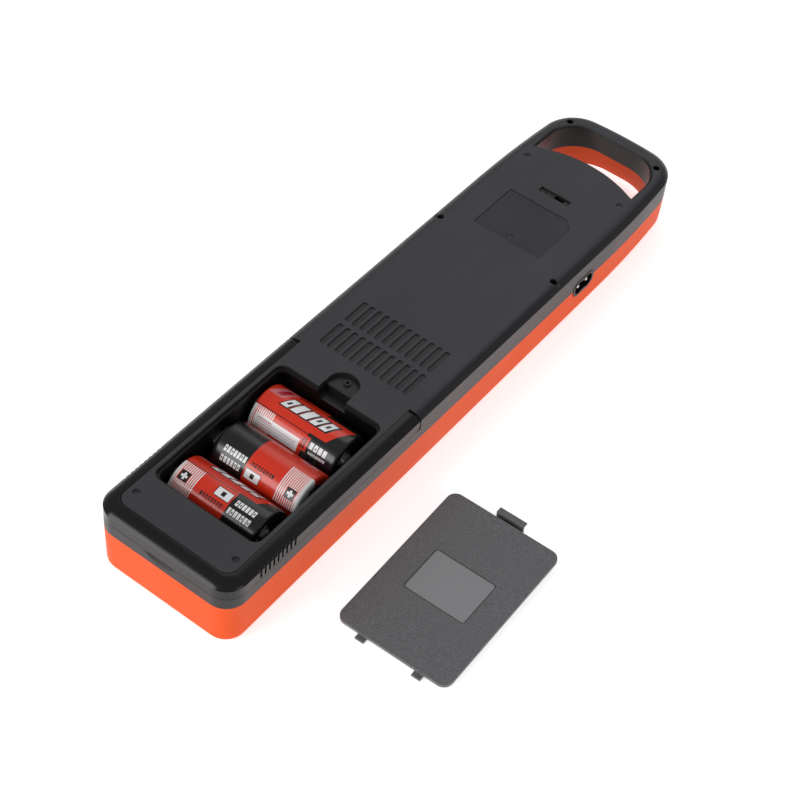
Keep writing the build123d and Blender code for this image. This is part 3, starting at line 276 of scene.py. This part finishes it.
# %% Group: handling marks
handling_group, handling_in, handling_out = new_group(
    "handling marks",
    {"Roughness": 0.4, "Spread": 0.06, "Dust": 0.03},
    {"Roughness": "NodeSocketFloat", "Dust": "NodeSocketFloat"},
)
smears = noise(handling_group, 35 * MM, detail=4.0, stretch=(1.0, 0.5, 1.0))
offset_by = remap(handling_group, smears, 0.3, 0.7, -1.0, 1.0)
spread = calc(handling_group, "MULTIPLY", offset_by, handling_in.outputs["Spread"])
roughness = calc(handling_group, "ADD", spread, handling_in.outputs["Roughness"], clamp=True)
handling_group.links.new(roughness, handling_out.inputs["Roughness"])
specks = remap(handling_group, noise(handling_group, 1.1 * MM, detail=1.0), 0.70, 0.78, 0.0, 1.0)
dust = calc(handling_group, "MULTIPLY", specks, handling_in.outputs["Dust"])
handling_group.links.new(dust, handling_out.inputs["Dust"])
print("group", handling_group.name, "has", len(handling_group.nodes), "nodes")


# %% [markdown]
# ## Plastics
#
# Every moulding shares one recipe: a colour, the tool's grain, and the handling marks. The back is
# textured black and the stand smoother; the front shell is orange; the battery cover has a coarse
# leather grain that hides scratches. Only the numbers differ, so one function makes them all.

# %% Finish: moulded plastic
def grouped(tree, group, **values):
    """Places a node group in a material with its own values."""
    node = tree.nodes.new("ShaderNodeGroup")
    node.node_tree = group
    for label, value in values.items():
        feed(tree, node.inputs[label.replace("_", " ")], value)
    return node


def moulded_plastic(
    name, colour, roughness, grain=0.35, depth=0.05, shade=0.06, specular=0.5, dust=0.04, coat=0.0
):
    """Plastic with the grain of its mould. Grain size and depth are in millimetres."""
    material = bpy.data.materials.new(name)
    material.use_nodes = True
    tree = material.node_tree
    shader = tree.nodes["Principled BSDF"]
    shader.inputs["Specular IOR Level"].default_value = specular
    shader.inputs["Coat Weight"].default_value = coat
    shader.inputs["Coat Roughness"].default_value = 0.12
    surface = grouped(tree, grain_group, Grain_size=grain * MM, Shade_spread=shade)
    marks = grouped(tree, handling_group, Roughness=roughness, Spread=roughness * 0.14, Dust=dust)
    tinted = tree.nodes.new("ShaderNodeHueSaturation")
    tinted.inputs["Color"].default_value = (*colour, 1)
    tree.links.new(surface.outputs["Shade"], tinted.inputs["Value"])
    dusty = blend_colours(tree, marks.outputs["Dust"], tinted.outputs["Color"], (0.5, 0.48, 0.45, 1))
    tree.links.new(dusty, shader.inputs["Base Color"])
    tree.links.new(marks.outputs["Roughness"], shader.inputs["Roughness"])
    bump = tree.nodes.new("ShaderNodeBump")
    bump.inputs["Distance"].default_value = depth * MM
    tree.links.new(surface.outputs["Height"], bump.inputs["Height"])
    tree.links.new(bump.outputs["Normal"], shader.inputs["Normal"])
    return material


black_texture = moulded_plastic(
    "textured black plastic", (0.048, 0.048, 0.052), 0.46, 0.45, 0.03, specular=0.3
)
black_satin = moulded_plastic(
    "satin black plastic", (0.008, 0.008, 0.009), 0.22, 0.3, 0.004, 0.02, specular=0.3
)
black_deep = moulded_plastic(
    "plain black plastic", (0.004, 0.004, 0.0045), 0.32, 0.3, 0.008, 0.02, specular=0.3
)
orange_satin = moulded_plastic(
    "satin orange plastic", (0.86, 0.092, 0.008), 0.52, 0.25, 0.004, 0.015, specular=0.22
)
cover_leather = moulded_plastic(
    "leather-grained black plastic", (0.135, 0.135, 0.140), 0.5, 1.0, 0.1, 0.18
)
patch_smooth = moulded_plastic("smooth grey plastic", (0.26, 0.259, 0.266), 0.38, 0.25, 0.004, 0.02)
white_moulding = moulded_plastic(
    "white reflector plastic", (0.80, 0.80, 0.78), 0.3, 0.3, 0.004, 0.01
)
board_green = moulded_plastic("solder-masked board", (0.02, 0.12, 0.05), 0.35, 0.6, 0.01, 0.1)
tape_yellow = moulded_plastic("winding tape", (0.62, 0.42, 0.06), 0.4, 1.2, 0.05, 0.08)
sleeve_blue = moulded_plastic("capacitor sleeve", (0.02, 0.04, 0.14), 0.25, 0.5, 0.005, 0.03)
wire_red = moulded_plastic("wire insulation", (0.30, 0.015, 0.012), 0.4, 0.5, 0.01, 0.04)
lens_red = moulded_plastic(
    "red indicator lens", (0.55, 0.02, 0.015), 0.12, 0.5, 0.002, 0.02, coat=0.5
)
phosphor = moulded_plastic("phosphor lens", (0.85, 0.72, 0.25), 0.3, 0.4, 0.01, 0.04)
print("plastics", len(bpy.data.materials))


# %% [markdown]
# ## Zones of the back moulding, with painted shade
#
# One moulding has several surfaces, because its tool was finished in patches: the rolled edge was
# polished, so it is smoother, and the rating label's recess is darker. The pockets under the cover,
# the rolled edge with the sides, and the inner wall of the grip opening are darkened as painted shade.
# The zones are found from the distance from the base end and the depth below the panel, so they
# follow the moulding's own shape and need no painting by hand.

# %% Group: back zones and painted shade
POCKETS = (36.2, 32.8, 146.0)      # half width, then the two distances from the base end
LABEL = (23.9, 302.0, 340.6)
OPENING = (37.2, 386.0, 424.5)


def between(tree, value, low, high, soft):
    """A mask with soft ends; all lengths are in millimetres."""
    rise = remap(tree, value, (low - soft) * MM, (low + soft) * MM, 0.0, 1.0)
    fall = remap(tree, value, (high - soft) * MM, (high + soft) * MM, 1.0, 0.0)
    return calc(tree, "MULTIPLY", rise, fall)


zone_group, _, zone_out = new_group(
    "back zones and painted shade", {}, {"Shade": "NodeSocketFloat", "Polish": "NodeSocketFloat"}
)
zone_axes = zone_group.nodes.new("ShaderNodeSeparateXYZ")
zone_place = zone_group.nodes.new("ShaderNodeTexCoord").outputs["Object"]
zone_group.links.new(zone_place, zone_axes.inputs["Vector"])
from_base = calc(zone_group, "ADD", zone_axes.outputs["Y"], ORIGIN_FROM_BASE * MM)
fall_here = calc(zone_group, "MULTIPLY", from_base, sin(BACK_FALL))
panel_here = calc(zone_group, "SUBTRACT", CASE_DEPTH * MM, fall_here)
depth_here = calc(zone_group, "SUBTRACT", panel_here, zone_axes.outputs["Z"])


def zone(area, soft):
    """A mask over a rectangle of the back."""
    half_width, low, high = area
    in_width = between(zone_group, zone_axes.outputs["X"], -half_width, half_width, soft)
    in_length = between(zone_group, from_base, low, high, soft)
    return calc(zone_group, "MULTIPLY", in_width, in_length)


def deeper(start, end, most=1.0):
    """A mask that grows between two depths below the panel, in millimetres."""
    return remap(zone_group, depth_here, start * MM, end * MM, 0.0, most)


# Painted shade: the pockets under the cover are darkened where shade falls in the recess.
pocket_painted_shade = calc(zone_group, "MULTIPLY", zone(POCKETS, 0.1), deeper(2.6, 4.5))
label = calc(zone_group, "MULTIPLY", zone(LABEL, 0.1), deeper(0.25, 0.4, 0.28))
below_panel = calc(zone_group, "SUBTRACT", deeper(0.1, 1.2), pocket_painted_shade, clamp=True)
label_cover = calc(zone_group, "MULTIPLY", label, 4.0)
# The rolled edge and the sides are darkened as painted shade, and are also made smoother.
rolled_edge_shade_and_polish = calc(zone_group, "SUBTRACT", below_panel, label_cover, clamp=True)
# Painted shade on the inner wall of the grip opening.
grip_painted_shade = calc(zone_group, "MULTIPLY", zone(OPENING, 0.3), rolled_edge_shade_and_polish)
label_tone_and_painted_shade = label
# The label's darker tone and the painted shade of the pockets, rolled edge and grip add up here.
for mask, strength in ((pocket_painted_shade, 0.85), (rolled_edge_shade_and_polish, 0.62), (grip_painted_shade, 0.3)):
    label_tone_and_painted_shade = calc(zone_group, "ADD", label_tone_and_painted_shade, calc(zone_group, "MULTIPLY", mask, strength))
shade_left = calc(zone_group, "SUBTRACT", 1.0, label_tone_and_painted_shade, clamp=True)
zone_group.links.new(shade_left, zone_out.inputs["Shade"])
zone_group.links.new(rolled_edge_shade_and_polish, zone_out.inputs["Polish"])
print("group", zone_group.name, "has", len(zone_group.nodes), "nodes")

# %% Zones and painted shade on the textured plastic
EDGE_POLISH = 0.14

back_tree = black_texture.node_tree
back_tint = next(node for node in back_tree.nodes if node.type == "HUE_SAT")
grain_shade = back_tint.inputs["Value"].links[0].from_socket
zones = grouped(back_tree, zone_group)
# The zones' label tone and painted shade darken the back's colour.
zoned = calc(back_tree, "MULTIPLY", grain_shade, zones.outputs["Shade"])
back_tree.links.new(zoned, back_tint.inputs["Value"])
back_roughness = back_tree.nodes["Principled BSDF"].inputs["Roughness"]
worn = back_roughness.links[0].from_socket
smoother = calc(back_tree, "MULTIPLY", zones.outputs["Polish"], EDGE_POLISH)
back_tree.links.new(calc(back_tree, "SUBTRACT", worn, smoother), back_roughness)
print("the back's finish has", len(back_tree.nodes), "nodes")


# %% [markdown]
# ## Metals
#
# Contacts are nickel-plated spring strip, and the screws are blackened so that they vanish in the
# black shell. Rolled strip keeps a faint brush along its length, and plating dulls in clouds.

# %% Finish: metals
def worked_metal(name, colour, roughness, brush=(1.0, 1.0, 1.0), tarnish=0.15):
    """Plated or bare metal, with a faint brush along one direction and some tarnish."""
    material = bpy.data.materials.new(name)
    material.use_nodes = True
    tree = material.node_tree
    shader = tree.nodes["Principled BSDF"]
    shader.inputs["Metallic"].default_value = 1.0
    streaks = noise(tree, 0.5 * MM, detail=3.0, stretch=brush)
    clouds = noise(tree, 9 * MM, detail=4.0)
    shine = remap(tree, streaks, 0.3, 0.7, roughness * 0.8, roughness * 1.3)
    tree.links.new(shine, shader.inputs["Roughness"])
    dull = tuple(c * (1 - tarnish) * 0.9 for c in colour)
    mix = blend_colours(tree, remap(tree, clouds, 0.4, 0.65, 0.0, 1.0), (*colour, 1), (*dull, 1))
    tree.links.new(mix, shader.inputs["Base Color"])
    bump = tree.nodes.new("ShaderNodeBump")
    bump.inputs["Distance"].default_value = 0.004 * MM
    tree.links.new(streaks, bump.inputs["Height"])
    tree.links.new(bump.outputs["Normal"], shader.inputs["Normal"])
    return material


nickel = worked_metal("nickel plate", (0.70, 0.69, 0.66), 0.22, (0.2, 1.0, 1.0))
spring_steel = worked_metal("spring steel", (0.62, 0.61, 0.60), 0.28)
dark_zinc = worked_metal("blackened screw steel", (0.09, 0.09, 0.095), 0.38)
lamination = worked_metal("transformer steel", (0.24, 0.24, 0.26), 0.5, (1.0, 1.0, 6.0), 0.4)
print("metals ready")

# %% [markdown]
# ## The light's window
#
# The window is clear polystyrene with a slightly uneven polish. It lies on the floor here and shows
# only when the lantern is turned over.

# %% Finish: clear plastic
clear_plastic = bpy.data.materials.new("clear ribbed plastic")
clear_plastic.use_nodes = True
clear_tree = clear_plastic.node_tree
clear_shader = clear_tree.nodes["Principled BSDF"]
clear_shader.inputs["Base Color"].default_value = (0.93, 0.95, 0.96, 1)
clear_shader.inputs["Transmission Weight"].default_value = 0.85
clear_shader.inputs["IOR"].default_value = 1.49
clear_tree.links.new(
    remap(clear_tree, noise(clear_tree, 14 * MM), 0.3, 0.7, 0.16, 0.26), clear_shader.inputs["Roughness"]
)
print("clear plastic ready")

# %% [markdown]
# ## Eased copies of the mouldings
#
# The workshop model has knife edges. A mould has none, and a thin bright line along each edge is
# what makes plastic look real. Each visible moulding is copied, its flat faces are joined again,
# and a Bevel modifier rounds its edges by a few tenths of a millimetre. The copy replaces the node.

# %% Eased copies
BODY_NODES = frame["record"]["behaviour"]["bodies"]
BODY_OF = {node: body for body, nodes in BODY_NODES.items() for node in nodes}


def eased(node, width, material, segments=3, angle=38):
    """A copy of a CAD node with its sharp edges rounded by `width` millimetres."""
    mesh = frame["nodes"][node].data.copy()
    shape = bmesh.new()
    shape.from_mesh(mesh)
    bmesh.ops.remove_doubles(shape, verts=shape.verts, dist=0.002 * MM)
    bmesh.ops.dissolve_limit(shape, angle_limit=radians(0.5), verts=shape.verts, edges=shape.edges)
    shape.to_mesh(mesh)
    shape.free()
    if "custom_normal" in mesh.attributes:
        mesh.attributes.remove(mesh.attributes["custom_normal"])
    mesh.materials.clear()
    mesh.materials.append(material)
    mesh.shade_smooth()
    mesh.set_sharp_from_angle(angle=radians(angle))
    piece = bpy.data.objects.new(node + "_eased", mesh)
    scene.collection.objects.link(piece)
    bevel = piece.modifiers.new("eased edges", "BEVEL")
    bevel.width = width * MM
    bevel.segments = segments
    bevel.limit_method = "ANGLE"
    bevel.angle_limit = radians(angle)
    bevel.use_clamp_overlap = True
    weighted = piece.modifiers.new("flat faces stay flat", "WEIGHTED_NORMAL")
    weighted.weight = 100
    weighted.keep_sharp = True
    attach(piece, BODY_OF[node])
    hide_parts(node)
    return piece


EASED = {
    "rear_housing": (0.25, black_texture),
    "front_housing": (0.3, orange_satin),
    "stand": (0.3, black_satin),
    "battery_tray": (0.25, black_deep),
    "battery_cover": (0.3, cover_leather),
    "cover_patch": (0.2, patch_smooth),
    "mains_inlet": (0.2, black_deep),
    "selector_body": (0.15, black_deep),
    "selector_knob": (0.15, black_satin),
    "light_bezel": (0.2, black_satin),
    "switch_body": (0.2, black_deep),
    "switch_rocker": (0.3, black_satin),
}
for node, (width, material) in EASED.items():
    piece = eased(node, width, material)
    print(piece.name, len(piece.data.polygons), "faces before easing")

# %% [markdown]
# ## Pieces that keep the workshop's shape
#
# Pins, springs, screws, wires and the parts inside the case are small or hidden, so their edges
# don't show. They keep the workshop's mesh and only get a finish.

# %% Finishes on the nodes that stay
KEPT = {
    "stand_pins": dark_zinc, "contact_plates": nickel, "battery_springs": spring_steel,
    "link_strips": nickel, "inlet_pins": nickel, "selector_rivets": dark_zinc,
    "panel_screws": dark_zinc, "case_screws": dark_zinc, "light_diffuser": clear_plastic,
    "reflector": white_moulding, "led_board": board_green, "leds": phosphor,
    "charge_light": lens_red, "transformer_core": lamination, "transformer_winding": tape_yellow,
    "circuit_board": board_green, "capacitors": sleeve_blue, "diodes": black_deep,
    "board_screws": dark_zinc, "mains_wires": wire_red, "battery_wires": wire_red,
}
for node, material in KEPT.items():
    for entry in frame["nodes"][node].material_slots:
        entry.material = material
print("finished", len(KEPT), "nodes as they stand")

# %% [markdown]
# ## The printed sleeves
#
# Each cell wears a printed film that is shrunk over its steel can and rolls over both ends. The
# design repeats twice around: a red band with a large slanted word, then an information band with
# pale stripes at the cap's end and a black block at the other end. Two cells show a size box and two
# short words, and the third shows a white panel of small print. The words are rows of plain blocks,
# because the model carries no lettering. The film's own measures, around and along, come from the
# piece's UV map, so one shader prints all three cells.

# %% Inks and the film's measures
INK_RED = (0.74, 0.034, 0.010, 1)
INK_BLACK = (0.010, 0.010, 0.011, 1)
INK_WHITE = (0.90, 0.90, 0.90, 1)
INK_GREY = (0.25, 0.25, 0.26, 1)
INK_PINK = (0.66, 0.17, 0.19, 1)
INK_CRIMSON = (0.42, 0.012, 0.030, 1)
SLEEVE_RADIUS = 16.45
FILM_AROUND = tau * SLEEVE_RADIUS
FILM_UNIT = 100.0                  # millimetres of film in one unit of the UV map
DESIGN_START = -24.0               # where a design starts, counted from its thin black line
DESIGN_HEIGHT = FILM_AROUND / 2
WORD_LEAN = 0.55
STRIPE_PITCH, STRIPE_SHARE = 1.3, 0.52
PRINT_PITCH, PRINT_SHARE = 1.5, 0.4
SIZE_BOX, FINE_PRINT = 1.0, 0.0    # which information band a cell shows
print("film", round(FILM_AROUND, 1), "mm around")

# %% Group: sleeve print
print_group, print_in, print_out = new_group(
    "sleeve print", {"Roll": 0.0, "Size box": 1.0}, {"Colour": "NodeSocketColor"}
)
film_place = print_group.nodes.new("ShaderNodeUVMap")
film_place.uv_map = "film"
film_axes = print_group.nodes.new("ShaderNodeSeparateXYZ")
print_group.links.new(film_place.outputs["UV"], film_axes.inputs["Vector"])


def film(operation, *values):
    """One Math node of the design."""
    return calc(print_group, operation, *values)


along = film("MULTIPLY", film_axes.outputs["Y"], FILM_UNIT)
rolled = film("ADD", film("MULTIPLY", film_axes.outputs["X"], FILM_UNIT), print_in.outputs["Roll"])
around = film("WRAP", rolled, DESIGN_START + DESIGN_HEIGHT, DESIGN_START)
slanted = film("ADD", along, film("MULTIPLY", around, WORD_LEAN))
stripes = film("LESS_THAN", film("FRACT", film("DIVIDE", along, STRIPE_PITCH)), STRIPE_SHARE)
print_lines = film("LESS_THAN", film("FRACT", film("DIVIDE", around, PRINT_PITCH)), PRINT_SHARE)
size_side = print_in.outputs["Size box"]
print_side = film("SUBTRACT", 1.0, size_side)


def block(run, box):
    """A mask that is 1 inside a box of the film: low and high around, then its start and end."""
    low, high, start, end = box
    in_height = film("COMPARE", around, (low + high) / 2, (high - low) / 2)
    in_length = film("COMPARE", run, (start + end) / 2, (end - start) / 2)
    return film("MULTIPLY", in_height, in_length)


def letters(run, box, pitch, filled):
    """A row of letter-like blocks in a box, with holes in some of them."""
    low, high, start, end = box
    place = film("DIVIDE", film("SUBTRACT", run, start), pitch)
    within = film("FRACT", place)
    dice = print_group.nodes.new("ShaderNodeTexWhiteNoise")
    dice.noise_dimensions = "1D"
    feed(print_group, dice.inputs["W"], film("FLOOR", film("ADD", place, low * 7)))
    holed = film("GREATER_THAN", dice.outputs["Value"], 0.35)
    lift = remap(print_group, dice.outputs["Value"], 0.0, 1.0, -0.12, 0.12)
    middle = film("ADD", (low + high) / 2, film("MULTIPLY", lift, high - low))
    hole_height = film("COMPARE", around, middle, (high - low) * 0.17)
    hole = film("MULTIPLY", hole_height, film("COMPARE", within, filled / 2, filled * 0.2))
    letter = film("LESS_THAN", within, filled)
    open_letter = calc(print_group, "SUBTRACT", letter, film("MULTIPLY", hole, holed), clamp=True)
    return film("MULTIPLY", open_letter, block(run, box))


def printed(under, colour, box, run=along, pitch=None, filled=0.74, side=None, lines=None):
    """Prints one colour over the design so far: a block, or letters if they have a pitch."""
    mask = block(run, box) if pitch is None else letters(run, box, pitch, filled)
    for limit in (side, lines):
        if limit is not None:
            mask = film("MULTIPLY", mask, limit)
    return blend_colours(print_group, mask, under, colour)


# The word band and the black block.
design = printed(INK_RED, INK_BLACK, (-30, 100, 38.5, 62))
design = printed(design, INK_RED, (-17.5, -1.2, 30.0, 49.0), slanted)
design = printed(design, INK_PINK, (-20.0, -9.5, -2.0, 7.5), slanted)
design = printed(design, INK_CRIMSON, (-18.5, -11.0, 1.5, 5.5), slanted)
design = printed(design, INK_BLACK, (-19.8, -18.0, 9.0, 40.0), slanted, 1.7, 0.6)
design = printed(design, INK_BLACK, (-14.6, -5.4, 10.0, 43.4), slanted)
design = printed(design, INK_RED, (-14.8, -5.2, 9.6, 43.6), slanted, 6.8, 0.08)
design = printed(design, INK_WHITE, (-13.8, -6.2, 10.7, 43.4), slanted, 6.6, 0.72)
# The thin line, and the stripes at the cap's end.
design = printed(design, INK_BLACK, (-0.25, 0.25, -1, 62))
design = printed(design, INK_WHITE, (0.6, 23, 3.0, 16.4), lines=stripes)
design = printed(design, INK_WHITE, (0.6, 23, -1, 3.6))
# The plus sign, the size box and the short words.
design = printed(design, INK_BLACK, (6.0, 12.0, 5.2, 11.2), side=size_side)
design = printed(design, INK_WHITE, (8.3, 9.7, 6.2, 10.2), side=size_side)
design = printed(design, INK_WHITE, (7.0, 11.0, 7.5, 8.9), side=size_side)
design = printed(design, INK_BLACK, (2.2, 8.4, 27.3, 37.7), side=size_side)
design = printed(design, INK_WHITE, (2.6, 8.0, 27.7, 37.3), side=size_side)
design = printed(design, INK_BLACK, (3.9, 6.8, 31.2, 34.0), along, 4.0, 0.62, size_side)
design = printed(design, INK_BLACK, (10.2, 12.6, 21.0, 36.5), along, 1.9, 0.66, size_side)
design = printed(design, INK_WHITE, (3.4, 7.0, 41.0, 54.8), along, 2.3, side=size_side)
design = printed(design, INK_WHITE, (9.2, 12.8, 39.6, 55.0), along, 2.2, side=size_side)
# The white panel with its small print, and the words beside it.
design = printed(design, INK_WHITE, (4.6, 12.6, 6.0, 36.0), side=print_side)
design = printed(design, INK_CRIMSON, (6.0, 7.0, 7.0, 17.0), along, 0.9, 0.6, print_side)
design = printed(design, INK_GREY, (7.6, 12.2, 7.0, 34.0), along, 0.8, 0.6, print_side, print_lines)
design = printed(design, INK_RED, (1.0, 9.6, 36.6, 41.4), side=print_side)
design = printed(design, INK_BLACK, (2.4, 8.4, 37.4, 40.4), along, 1.6, 0.5, print_side)
design = printed(design, INK_WHITE, (2.6, 6.4, 42.6, 54.6), along, 3.0, side=print_side)
design = printed(design, INK_WHITE, (7.8, 9.4, 43.2, 54.6), along, 1.3, side=print_side)
print_group.links.new(design, print_out.inputs["Colour"])
print("group", print_group.name, "has", len(print_group.nodes), "nodes")


# %% Finish: printed film
def printed_film(name, roll, size_box):
    """Glossy printed film; `roll` turns the design around the cell, in millimetres."""
    material = bpy.data.materials.new(name)
    material.use_nodes = True
    tree = material.node_tree
    shader = tree.nodes["Principled BSDF"]
    design_node = grouped(tree, print_group, Roll=roll, Size_box=size_box)
    marks = grouped(tree, handling_group, Roughness=0.24, Spread=0.05, Dust=0.0)
    tree.links.new(design_node.outputs["Colour"], shader.inputs["Base Color"])
    tree.links.new(marks.outputs["Roughness"], shader.inputs["Roughness"])
    wrinkle = tree.nodes.new("ShaderNodeBump")
    wrinkle.inputs["Distance"].default_value = 0.05 * MM
    feed(tree, wrinkle.inputs["Height"], noise(tree, 6 * MM, detail=2.0, stretch=(0.4, 1.0, 1.0)))
    tree.links.new(wrinkle.outputs["Normal"], shader.inputs["Normal"])
    return material


# %% [markdown]
# ## The cells
#
# A real can is drawn steel: its foot has a shallow recess, and the other end is closed by a plate
# with a raised ring and a cap. All of it is turned work, so each piece is one outline turned about
# the cell's axis. The film's outline starts on the face of one end and finishes on the other, which
# gives the soft rolled lip that shrunk film has.

# %% Turned pieces
CELL_LENGTH = 61.0
CELL_DEPTH = 20.3
CELLS = {"near": (52.9, -1, -2.7), "middle": (86.9, 1, 0.7), "far": (120.9, -1, -2.9)}
FILM_OUTLINE = [
    (1.9, 10.8), (1.65, 12.2), (1.5, 14.0), (1.6, 15.0), (2.0, 15.8), (2.7, 16.28), (3.6, 16.45),
    (30.0, 16.45), (58.0, 16.45), (59.3, 16.4), (60.1, 16.15), (60.6, 15.6), (60.8, 14.9), (60.75, 14.2),
]
CAN_OUTLINE = [
    (2.3, 0.0), (2.3, 5.6), (1.8, 6.2), (1.8, 7.6), (2.25, 8.3), (2.25, 12.4), (2.0, 13.4), (2.3, 15.2),
    (3.2, 16.1), (59.4, 16.1), (60.3, 15.5), (60.9, 14.6), (61.0, 13.8), (60.9, 13.1), (60.2, 12.6),
    (60.1, 9.4), (60.6, 8.8), (60.6, 0.0),
]
CAP_OUTLINE = [(2.3, 5.1), (1.9, 4.75), (0.5, 4.6), (0.15, 4.45), (0.0, 4.0), (0.0, 0.0)]
CELL_TURNS = 144


def turned(name, cell, outline, material):
    """Turns an outline about a cell's axis; the outline is (along from the cap's tip, radius)."""
    cell_y, cap_side, cell_set = CELLS[cell]
    axis_foot = back_place(cell_set + cap_side * CELL_LENGTH / 2, cell_y, -CELL_DEPTH)
    verts = []
    for step in range(CELL_TURNS + 1):
        angle = tau * step / CELL_TURNS
        for length, radius in outline:
            verts.append(axis_foot + Vector((
                -cap_side * length, cap_side * radius * sin(angle), radius * cos(angle)
            )) * MM)
    count = len(outline)
    faces = []
    for step in range(CELL_TURNS):
        for spot in range(count - 1):
            low, high = step * count + spot, (step + 1) * count + spot
            faces.append((low, high, high + 1, low + 1))
    mesh = bpy.data.meshes.new(name)
    mesh.from_pydata(verts, [], faces)
    film_uv = mesh.uv_layers.new(name="film")
    for loop in mesh.loops:
        step, spot = divmod(loop.vertex_index, count)
        turned_by = FILM_AROUND * step / CELL_TURNS
        film_uv.data[loop.index].uv = (turned_by / FILM_UNIT, outline[spot][0] / FILM_UNIT)
    shape = bmesh.new()
    shape.from_mesh(mesh)
    bmesh.ops.remove_doubles(shape, verts=shape.verts, dist=0.0005 * MM)
    bmesh.ops.recalc_face_normals(shape, faces=shape.faces)
    shape.to_mesh(mesh)
    shape.free()
    mesh.materials.append(material)
    mesh.shade_smooth()
    piece = bpy.data.objects.new(name, mesh)
    scene.collection.objects.link(piece)
    return piece


FILM_ROLLS = {"near": (3.1, SIZE_BOX), "middle": (21.0, SIZE_BOX), "far": (-8.4, FINE_PRINT)}
for cell, (roll, shown_side) in FILM_ROLLS.items():
    film_finish = printed_film(f"printed film {cell}", roll, shown_side)
    for part, outline, material in (
        ("sleeve", FILM_OUTLINE, film_finish), ("can", CAN_OUTLINE, nickel), ("cap", CAP_OUTLINE, nickel)
    ):
        node = f"cell_{cell}_{part}"
        piece = turned(node + "_turned", cell, outline, material)
        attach(piece, BODY_OF[node])
        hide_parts(node)
        print(piece.name, len(piece.data.vertices), "points")
